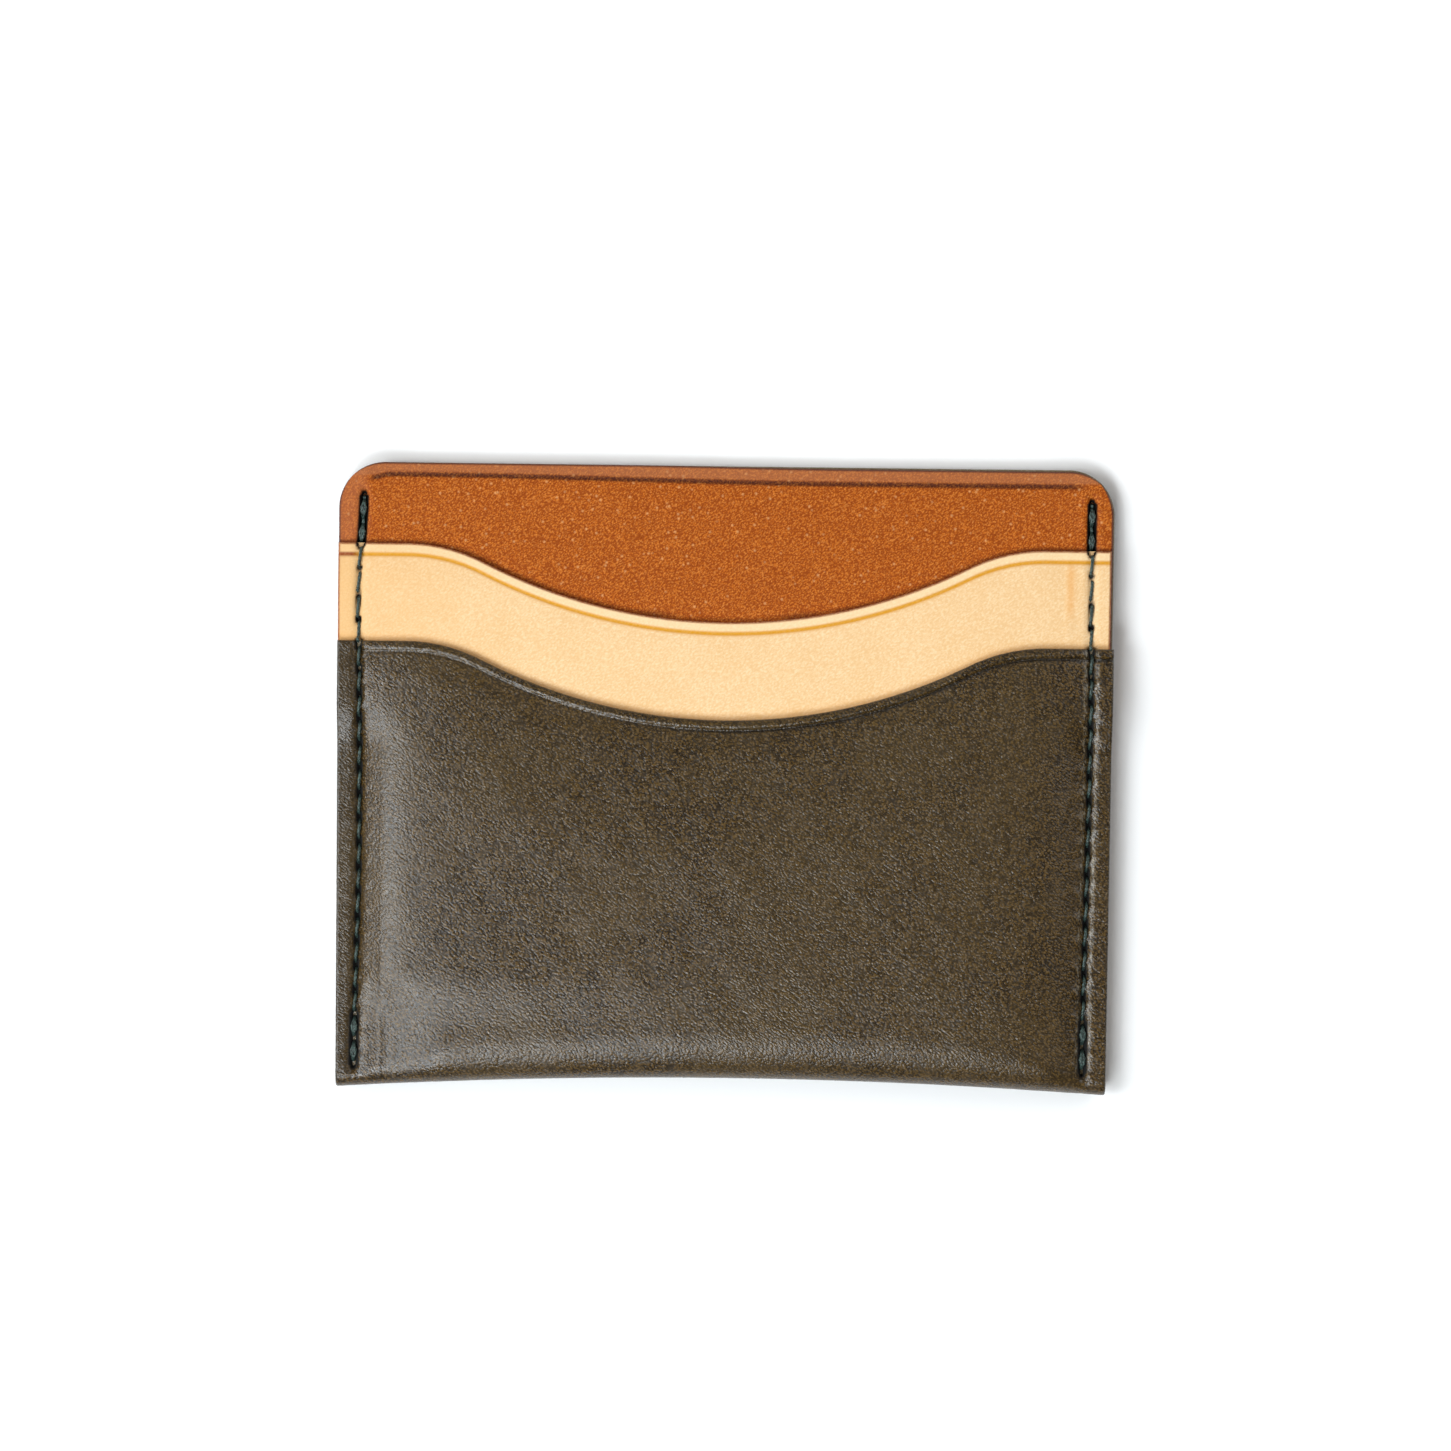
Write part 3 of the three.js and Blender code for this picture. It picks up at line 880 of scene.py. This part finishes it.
def even_steps(route):
    """The route as points a thread step apart."""
    route = np.array(route, float)
    lengths = np.linalg.norm(np.diff(route, axis=0), axis=1)
    travelled = np.concatenate([[0], np.cumsum(lengths)])
    count = max(4, int(travelled[-1] / THREAD_STEP))
    even = np.linspace(0, travelled[-1], count)
    return np.stack([np.interp(even, travelled, route[:, k]) for k in range(3)], -1)


def rounded(points):
    """The route with its corners rounded; its ends stay."""
    for _ in range(ROUNDINGS):
        points[1:-1] = (points[:-2] + 2 * points[1:-1] + points[2:]) / 4
    return points


def thread_piece(name, routes):
    """Twisted plies along each route, as one mesh."""
    points, faces, start = [], [], 0
    for route in routes:
        path = rounded(even_steps(route))
        normals, binormals = path_frame(path)
        travelled = np.arange(len(path)) * THREAD_STEP
        for ply in range(PLIES):
            turn = 2 * math.pi * (travelled / TWIST_LENGTH + ply / PLIES)
            offset = normals * np.cos(turn)[:, None] + binormals * np.sin(turn)[:, None]
            points.append(ply_rings(path + offset * (THREAD_RADIUS - PLY_RADIUS)).reshape(-1, 3))
            faces += tube_faces(len(path), PLY_SIDES, start)
            start += len(path) * PLY_SIDES
    return smooth_piece(name, np.concatenate(points), faces)


def dive(side, hole, inward, surface_point, facing):
    """From the middle of a hole to below the end of a stitch."""
    x, _, z = surface_point
    middle = (float(seam_x(side, hole)), hole, z - facing * (THREAD_DIP + 0.1))
    return [middle, (x, hole + DIP_STEEP * inward, z - facing * THREAD_DIP)]


def stitch_route(side, holes, top_at, facing, slant, bulge):
    """Out of one hole, over the leather and into the next hole."""
    low, high = holes
    on_middle = FRONT_TOP < (low + high) / 2 < MIDDLE_TOP
    start, rise = MIDDLE_SPAN if on_middle else OPEN_SPAN
    share = np.linspace(0, 1, STITCH_POINTS)
    heights = lerp(low + start, high - start, share)
    arch = np.sin(math.pi * share) ** 0.5
    x = seam_x(side, heights) + slant * (share - 0.5) + bulge * np.sin(math.pi * share)
    surface = np.max([facing * top_at(x, heights + d) for d in SURFACE_SEARCH], axis=0)
    z = facing * (surface + rise * arch - STITCH_END_SINK * (1 - arch))
    over = list(zip(x, heights, z))
    into_high = dive(side, high, -1, over[-1], facing)
    return dive(side, low, 1, over[0], facing) + over + into_high[::-1]


def seam_route(side, holes, top_at, facing, slant, bulge):
    """facing is 1 for the needle thread on the front, -1 for the bobbin thread."""
    route = []
    for pair in zip(holes[:-1], holes[1:]):
        route += stitch_route(side, pair, top_at, facing, slant, bulge)
    return route


def side_threads(side, word):
    made = []
    for kind, surface, facing in (("needle", front_surface, 1), ("bobbin", back_surface, -1)):
        routes = [seam_route(side, HOLE_HEIGHTS, surface, facing, STITCH_SLANT, 0.0)]
        for tack in (HOLE_HEIGHTS[: TACKED + 1], HOLE_HEIGHTS[-TACKED - 1 :]):
            for bulge in (-TACK_BULGE, TACK_BULGE):
                routes.append(seam_route(side, tack, surface, facing, 0.0, bulge))
        made.append(thread_piece(f"{word}_{kind}_stitching", routes))
    return made


def base_threads():
    """The seam that closes the middle pocket, hidden behind the front."""
    holes = np.linspace(-BASE_SEAM_HALF, BASE_SEAM_HALF, BASE_STITCHES + 1)
    top = float(middle_under(0.0, BASE_SEAM_HEIGHT)) + LEATHER
    under = float(inner_under(0.0, BASE_SEAM_HEIGHT))
    share = np.linspace(0, 1, BASE_POINTS)
    lift = BASE_ARCH * np.sin(math.pi * share) ** 0.6 - BASE_SINK
    made = []
    for kind, level, facing in (("needle", top, 1), ("bobbin", under, -1)):
        route = []
        for left, right in zip(holes[:-1], holes[1:]):
            xs = lerp(left + BASE_SPAN, right - BASE_SPAN, share)
            route += [(x, BASE_SEAM_HEIGHT, level + facing * up) for x, up in zip(xs, lift)]
            route.append((right, BASE_SEAM_HEIGHT, level - facing * BASE_DIP))
        made.append(thread_piece(f"base_{kind}_stitching", [route]))
    return made


# ---- Materials ----


class Nodes:
    """Short calls for building a material's nodes."""

    def __init__(self, name):
        self.material = bpy.data.materials.new(name)
        self.material.use_nodes = True
        self.tree = self.material.node_tree
        self.shader = self.tree.nodes["Principled BSDF"]
        coords = self.node("TexCoord")
        mapping = self.node("Mapping", Scale=(1 / MM,) * 3)
        self.link(coords.outputs["Object"], mapping.inputs["Vector"])
        self.millimetres = mapping.outputs["Vector"]

    def node(self, kind, **values):
        """A new node with these input values; an underscore stands for a space."""
        node = self.tree.nodes.new("ShaderNode" + kind)
        for name, value in values.items():
            node.inputs[name.replace("_", " ")].default_value = value
        return node

    def link(self, start, end):
        self.tree.links.new(start, end)

    def stretched(self, sizes, turn=0.0):
        """Coordinates in which a texture is this much longer on its axes, turned about Z."""
        node = self.node("Mapping", Rotation=(0, 0, math.radians(turn)), Scale=sizes)
        node.vector_type = "TEXTURE"
        self.link(self.millimetres, node.inputs["Vector"])
        return node.outputs["Vector"]

    def noise(self, per_mm, detail=3.0, roughness=0.55, vector=None, distortion=0.0):
        node = self.node("TexNoise", Scale=per_mm, Detail=detail, Distortion=distortion)
        node.inputs["Roughness"].default_value = roughness
        self.link(vector or self.millimetres, node.inputs["Vector"])
        return node.outputs["Fac"]

    def pebbles(self, per_mm, vector):
        """Distance from the middle of the nearest pebble of the grain."""
        node = self.node("TexVoronoi", Scale=per_mm)
        node.feature = "SMOOTH_F1"
        node.inputs["Smoothness"].default_value = PEBBLE_SMOOTHNESS
        self.link(vector, node.inputs["Vector"])
        return node.outputs["Distance"]

    def specks(self, per_mm):
        """Distance from the nearest of some scattered points."""
        node = self.node("TexVoronoi", Scale=per_mm)
        self.link(self.millimetres, node.inputs["Vector"])
        return node.outputs["Distance"]

    def span(self, value, low, high, to_low=0.0, to_high=1.0):
        """Maps low and high onto to_low and to_high, and holds them beyond."""
        node = self.node("MapRange", From_Min=low, From_Max=high, To_Min=to_low, To_Max=to_high)
        self.link(value, node.inputs["Value"])
        return node.outputs["Result"]

    def product(self, a, b):
        """a is a socket, b a socket or a number."""
        node = self.node("Math")
        node.operation = "MULTIPLY"
        self.link(a, node.inputs[0])
        if isinstance(b, float):
            node.inputs[1].default_value = b
        else:
            self.link(b, node.inputs[1])
        return node.outputs["Value"]

    def mask(self, name):
        """A mask that the mesh carries as an attribute."""
        node = self.node("Attribute")
        node.attribute_name = name
        return node.outputs["Fac"]

    def mix(self, amount, a, b):
        node = self.node("Mix")
        node.data_type = "RGBA"
        self.link(amount, node.inputs["Factor"])
        for socket, value in ((node.inputs[6], a), (node.inputs[7], b)):
            if isinstance(value, tuple):
                socket.default_value = (*value, 1.0)
            else:
                self.link(value, socket)
        return node.outputs[2]

    def places(self, tone, layers):
        """Colours the places of some masks; each layer is a mask, a strength, a colour."""
        for name, strength, color in layers:
            tone = self.mix(self.product(self.mask(name), strength), tone, color)
        return tone

    def backed(self, tone, flesh, hole):
        """Adds the flesh side and the painted shade in the stitch holes."""
        tone = self.mix(self.mask("flesh"), tone, flesh)
        return self.mix(self.span(self.mask("hole"), *HOLE_SHADE_FADE), tone, hole)

    def bump(self, height, distance_mm, strength, below=None):
        node = self.node("Bump", Strength=strength, Distance=distance_mm * MM)
        self.link(height, node.inputs["Height"])
        if below:
            self.link(below, node.inputs["Normal"])
        return node.outputs["Normal"]

    def pebble_bump(self, pebble, distance_mm, strength, below=None):
        return self.bump(self.span(pebble, 0.0, 1.0, 1.0, 0.0), distance_mm, strength, below)

    def finish(self, color, roughness, normal, specular):
        self.link(color, self.shader.inputs["Base Color"])
        self.link(roughness, self.shader.inputs["Roughness"])
        self.link(normal, self.shader.inputs["Normal"])
        self.shader.inputs["Specular IOR Level"].default_value = specular
        return self.material


def linear(value):
    """The linear share of light for a display value of 0-255."""
    share = value / 255
    return share / 12.92 if share <= 0.04045 else ((share + 0.055) / 1.055) ** 2.4


def srgb(red, green, blue):
    return linear(red), linear(green), linear(blue)


PEBBLE_SMOOTHNESS = 0.6
HOLE_SHADE_FADE = (0.25, 0.7)  # of the mask, where the painted shade of a stitch hole sets in
HOLE_DULL = (0.2, 0.6)
DULL = (1.0, 1.0, 1.0)  # full roughness

# Grain of each leather: pebbles and waves of noise per mm, and its turn in degrees
OLIVE_PEBBLES, OLIVE_GRAIN, OLIVE_TURN = 3.3, 4.8, -35
OLIVE_ROUGHNESS = (0.23, 0.31)
OLIVE_SPECULAR = 0.57
NATURAL_PEBBLES, NATURAL_PORES, NATURAL_TURN = 3.3, 3.4, 35
NATURAL_ROUGHNESS = (0.5, 0.6)
NATURAL_SPECULAR = 0.3
BROWN_PEBBLES, BROWN_GRAIN, BROWN_TURN = 3.7, 4.6, 40
BROWN_STRETCH = (1.2, 0.85, 1.0)
BROWN_ROUGHNESS = (0.55, 0.65)
BROWN_SPECULAR = 0.17

OLIVE_CROWN = srgb(96, 73, 36)  # of a pebble
OLIVE_FLANK = srgb(84, 62, 25)
OLIVE_GROOVE = srgb(34, 23, 7)
OLIVE_PALE = srgb(104, 82, 45)
OLIVE_DARK = srgb(22, 15, 4)
OLIVE_MARGIN_SHADE = (("margin", 0.55, srgb(44, 34, 18)),)  # painted shade on the left margin, outside the seam: mask, strength, colour
OLIVE_WARM = srgb(90, 72, 42)
OLIVE_SEAM_HIGHLIGHT = srgb(160, 152, 134)
# the crease's dark line, partly painted shade, and the darker cut edges
OLIVE_CREASE_SHADE_AND_EDGES = (("crease", 0.85, srgb(22, 17, 11)), ("cut_edge", 0.6, srgb(56, 48, 36)))
OLIVE_FLESH = srgb(128, 112, 84)
OLIVE_FLESH_DARK = srgb(104, 89, 64)
# painted shade in the stitch holes and tack troughs
OLIVE_HOLE_SHADE = srgb(5, 5, 4)

CREAM = srgb(237, 197, 144)
CREAM_LIGHT = srgb(241, 204, 154)
CREAM_GROOVE = srgb(230, 185, 129)
CREAM_PALE = srgb(249, 223, 182)
CREAM_SPECK = srgb(206, 150, 88)
CREAM_PLACES = (
    ("strip", 0.4, srgb(250, 224, 180)),
    ("side", 0.5, srgb(232, 184, 120)),
    ("tan", 0.3, srgb(224, 172, 108)),
    ("shade", 0.4, srgb(226, 158, 78)),
    ("rub", 0.45, srgb(236, 160, 62)),
)
CREAM_LINE = srgb(212, 146, 18)
CREAM_TOAST = srgb(140, 62, 12)
CREAM_CUT = srgb(146, 70, 22)
CREAM_FLESH = srgb(214, 176, 126)

BROWN = srgb(179, 88, 10)
BROWN_LIGHT = srgb(184, 94, 16)
BROWN_CROWN = srgb(220, 136, 54)
BROWN_GROOVE = srgb(146, 64, 2)
BROWN_PALE = srgb(218, 136, 60)
BROWN_DARK = srgb(132, 56, 2)
BROWN_SPECK = srgb(236, 176, 116)
BROWN_PLACES = (
    ("strip", 0.45, srgb(170, 112, 76)),
    ("side", 0.4, srgb(176, 108, 70)),
    ("shade", 0.7, srgb(84, 34, 12)),
)
BROWN_LINE = srgb(62, 24, 12)
BROWN_EDGE = (("cut_edge", 0.85, srgb(80, 46, 40)),)
BROWN_FLESH = srgb(150, 96, 58)
# painted shade in the stitch holes and tack troughs of the natural and brown leathers
WARM_HOLE_SHADE = srgb(8, 6, 5)

THREAD_DARK = srgb(12, 22, 20)
THREAD_PALE = srgb(76, 98, 92)


def olive_leather():
    n = Nodes("olive_leather")
    pebble = n.pebbles(OLIVE_PEBBLES, n.stretched((1.3, 0.8, 1.0), OLIVE_TURN))
    grain = n.noise(OLIVE_GRAIN, 2.0, 0.6, n.stretched((1.4, 0.8, 1.0), OLIVE_TURN))
    wrinkle = n.noise(1.9, 2.0, 0.6, n.stretched((2.0, 0.7, 1.0), OLIVE_TURN), 0.6)
    blotch = n.noise(0.09, 3.0, 0.5)
    tone = n.mix(n.span(pebble, 0.12, 0.3), OLIVE_CROWN, OLIVE_FLANK)
    tone = n.mix(n.span(pebble, 0.36, 0.5), tone, OLIVE_GROOVE)
    tone = n.mix(n.span(grain, 0.53, 0.63, 0.0, 0.5), tone, OLIVE_PALE)
    tone = n.mix(n.span(grain, 0.47, 0.37, 0.0, 0.65), tone, OLIVE_DARK)
    # painted shade on the left margin
    tone = n.places(tone, OLIVE_MARGIN_SHADE)
    tone = n.mix(n.span(blotch, 0.35, 0.65, 0.0, 0.25), tone, OLIVE_WARM)
    # painted highlight: pale streaks on both sides of the right seam
    streaks = n.noise(2.6, 2.0, 0.6, n.stretched((0.6, 1.8, 1.0), 12))
    highlit = n.product(n.mask("scuff"), n.span(streaks, 0.49, 0.64, 0.0, 0.6))
    tone = n.mix(highlit, tone, OLIVE_SEAM_HIGHLIGHT)
    # the crease's dark line, partly painted shade, and the cut edges
    tone = n.places(tone, OLIVE_CREASE_SHADE_AND_EDGES)
    flesh = n.mix(n.span(grain, 0.3, 0.7), OLIVE_FLESH, OLIVE_FLESH_DARK)
    tone = n.backed(tone, flesh, OLIVE_HOLE_SHADE)
    rough = n.span(n.noise(0.6), 0.3, 0.7, *OLIVE_ROUGHNESS)
    rough = n.mix(n.span(n.mask("hole"), *HOLE_DULL), rough, DULL)
    normal = n.bump(wrinkle, 0.06, 0.7)
    normal = n.pebble_bump(pebble, 0.055, 0.9, normal)
    normal = n.bump(grain, 0.045, 0.9, normal)
    return n.finish(tone, rough, normal, OLIVE_SPECULAR)


def natural_leather():
    n = Nodes("natural_leather")
    soft = n.noise(0.16, 4.0, 0.6)
    pebble = n.pebbles(NATURAL_PEBBLES, n.stretched((1.25, 0.8, 1.0), NATURAL_TURN))
    pores = n.noise(NATURAL_PORES, 3.0, 0.6, n.stretched((1.3, 0.8, 1.0), NATURAL_TURN))
    specks = n.specks(1.3)
    tone = n.mix(n.span(soft, 0.35, 0.65), CREAM, CREAM_LIGHT)
    tone = n.mix(n.span(pebble, 0.3, 0.6, 0.0, 0.6), tone, CREAM_GROOVE)
    tone = n.mix(n.span(pores, 0.52, 0.35, 0.0, 0.5), tone, CREAM_PALE)
    tone = n.mix(n.span(specks, 0.0, 0.06, 0.35, 0.0), tone, CREAM_SPECK)
    tone = n.places(tone, CREAM_PLACES)
    line = n.mix(n.mask("toast"), CREAM_LINE, CREAM_TOAST)
    broken = n.product(n.mask("crease"), n.span(pores, 0.4, 0.65, 1.0, 0.85))
    tone = n.mix(broken, tone, line)
    edge = n.product(n.mask("cut_edge"), n.span(pores, 0.35, 0.65, 1.0, 0.7))
    tone = n.mix(edge, tone, CREAM_CUT)
    tone = n.backed(tone, CREAM_FLESH, WARM_HOLE_SHADE)
    rough = n.span(soft, 0.3, 0.7, *NATURAL_ROUGHNESS)
    normal = n.bump(pores, 0.03, 0.6, n.pebble_bump(pebble, 0.03, 0.7))
    return n.finish(tone, rough, normal, NATURAL_SPECULAR)


def brown_leather():
    n = Nodes("brown_leather")
    blotch = n.noise(0.12, 4.0, 0.6)
    pebble = n.pebbles(BROWN_PEBBLES, n.stretched(BROWN_STRETCH, BROWN_TURN))
    grain = n.noise(BROWN_GRAIN, 3.0, 0.6, n.stretched(BROWN_STRETCH, BROWN_TURN))
    specks = n.specks(0.8)
    tone = n.mix(n.span(blotch, 0.35, 0.65), BROWN, BROWN_LIGHT)
    tone = n.mix(n.span(pebble, 0.28, 0.08, 0.0, 0.6), tone, BROWN_CROWN)
    tone = n.mix(n.span(pebble, 0.34, 0.52, 0.0, 0.9), tone, BROWN_GROOVE)
    tone = n.mix(n.span(grain, 0.52, 0.64, 0.0, 0.6), tone, BROWN_PALE)
    tone = n.mix(n.span(grain, 0.48, 0.36, 0.0, 0.6), tone, BROWN_DARK)
    tone = n.mix(n.span(specks, 0.0, 0.2, 0.6, 0.0), tone, BROWN_SPECK)
    tone = n.places(tone, BROWN_PLACES)
    broken = n.product(n.mask("crease"), n.span(grain, 0.35, 0.6, 1.0, 0.7))
    tone = n.mix(broken, tone, BROWN_LINE)
    tone = n.places(tone, BROWN_EDGE)
    tone = n.backed(tone, BROWN_FLESH, WARM_HOLE_SHADE)
    rough = n.span(blotch, 0.3, 0.7, *BROWN_ROUGHNESS)
    normal = n.bump(grain, 0.04, 0.7, n.pebble_bump(pebble, 0.06, 0.7))
    return n.finish(tone, rough, normal, BROWN_SPECULAR)


def thread_fibre():
    n = Nodes("thread_fibre")
    fuzz = n.noise(7.0, 3.0, 0.6, n.stretched((1.0, 2.5, 1.0)))
    tone = n.mix(n.span(fuzz, 0.4, 0.65), THREAD_DARK, THREAD_PALE)
    rough = n.span(fuzz, 0.3, 0.7, 0.34, 0.46)
    return n.finish(tone, rough, n.bump(fuzz, 0.04, 0.6), 0.5)


# ---- Stage, light and camera ----

FLOOR_HALF = 3.0  # m
FLOOR_CLEAR = 0.00002  # m, between the floor and the lowest thread
PAPER_DARK = (0.96, 0.96, 0.96)
PAPER_LIGHT = (0.98, 0.98, 0.98)

SKY = (0.92, 0.97, 1.0)
LAMP = (1.0, 0.98, 0.95)
WORLD_STRENGTH = 0.08
# name, place and size in m, watts, colour: the keys give the leather its highlights
SOFTBOXES = (
    ("key_left", (-0.67, -0.12, 0.82), (0.34, 0.5), 5.7, SKY),
    ("key_near", (-0.27, -0.61, 0.82), (0.36, 0.36), 6.0, SKY),
    ("key_corner", (-0.52, -0.42, 0.82), (0.26, 0.26), 1.7, SKY),
    ("fill_right", (1.0, 0.75, 0.8), (1.2, 1.2), 8.3, LAMP),
    ("fill_left", (-1.0, 0.8, 0.8), (1.2, 1.2), 6.6, LAMP),
)

FRAME_WIDTH = 187.5  # mm of the floor across the picture
SENSOR_WIDTH = 36.0
CAMERA_HEIGHT = 620.0
CAMERA_RIGHT = 0.1
CAMERA_AHEAD = 6.8  # the picture's middle lies this far towards the mouths
CAMERA_ROLL = 0.7  # degrees


def floor_paper():
    n = Nodes("floor_paper")
    tone = n.mix(n.noise(0.02), PAPER_DARK, PAPER_LIGHT)
    grain = n.noise(0.5)
    return n.finish(tone, n.span(grain, 0, 1, 0.85, 0.95), n.bump(grain, 0.01, 0.1), 0.2)


def floor():
    mesh = bpy.data.meshes.new("floor")
    corners = [(FLOOR_HALF * x, FLOOR_HALF * y, 0) for x, y in ((-1, -1), (1, -1), (1, 1), (-1, 1))]
    mesh.from_pydata(corners, [], [(0, 1, 2, 3)])
    mesh.materials.append(floor_paper())
    plane = add_object("floor", mesh)
    plane.location.z = min(0.0, THREAD_LOW * MM) - FLOOR_CLEAR


def softbox(name, place, size, power, color):
    """A rectangular light that faces the middle of the floor."""
    light = bpy.data.lights.new(name, "AREA")
    light.color = color
    light.shape = "RECTANGLE"
    light.size, light.size_y = size
    light.energy = power
    box = add_object(name, light)
    box.location = place
    box.rotation_euler = (-box.location).to_track_quat("-Z", "Y").to_euler()


def lights():
    for box in SOFTBOXES:
        softbox(*box)
    world = bpy.data.worlds.new("studio")
    bpy.context.scene.world = world
    world.use_nodes = True
    background = world.node_tree.nodes["Background"]
    background.inputs["Color"].default_value = (1, 1, 1, 1)
    background.inputs["Strength"].default_value = WORLD_STRENGTH


def camera():
    data = bpy.data.cameras.new("overhead")
    data.sensor_width = SENSOR_WIDTH
    data.lens = SENSOR_WIDTH * CAMERA_HEIGHT / FRAME_WIDTH
    view = add_object("overhead", data)
    view.location = (CAMERA_RIGHT * MM, CAMERA_AHEAD * MM, CAMERA_HEIGHT * MM)
    view.rotation_euler = Euler((0, 0, math.radians(CAMERA_ROLL)))
    bpy.context.scene.camera = view


# ---- Assembly ----


def dress(piece, material, slot, *nodes):
    piece.data.materials.append(material)
    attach(piece, "root")
    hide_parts(*nodes)


def build():
    leathers = (
        (shell_piece, olive_leather, "olive_leather", "outer_shell"),
        (middle_piece, natural_leather, "natural_leather", "middle_pocket"),
        (inner_piece, brown_leather, "brown_leather", "inner_panel"),
    )
    for make, material, slot, node in leathers:
        dress(make(), material(), slot, node)
    fibre = thread_fibre()
    left, right = side_threads(-1, "left"), side_threads(1, "right")
    for word, (needle, bobbin) in (("left", left), ("right", right), ("base", base_threads())):
        dress(needle, fibre, "thread", f"{word}_needle_thread")
        dress(bobbin, fibre, "thread", f"{word}_bobbin_thread")


build()
floor()
lights()
camera()
bpy.context.scene.view_settings.view_transform = "Standard"
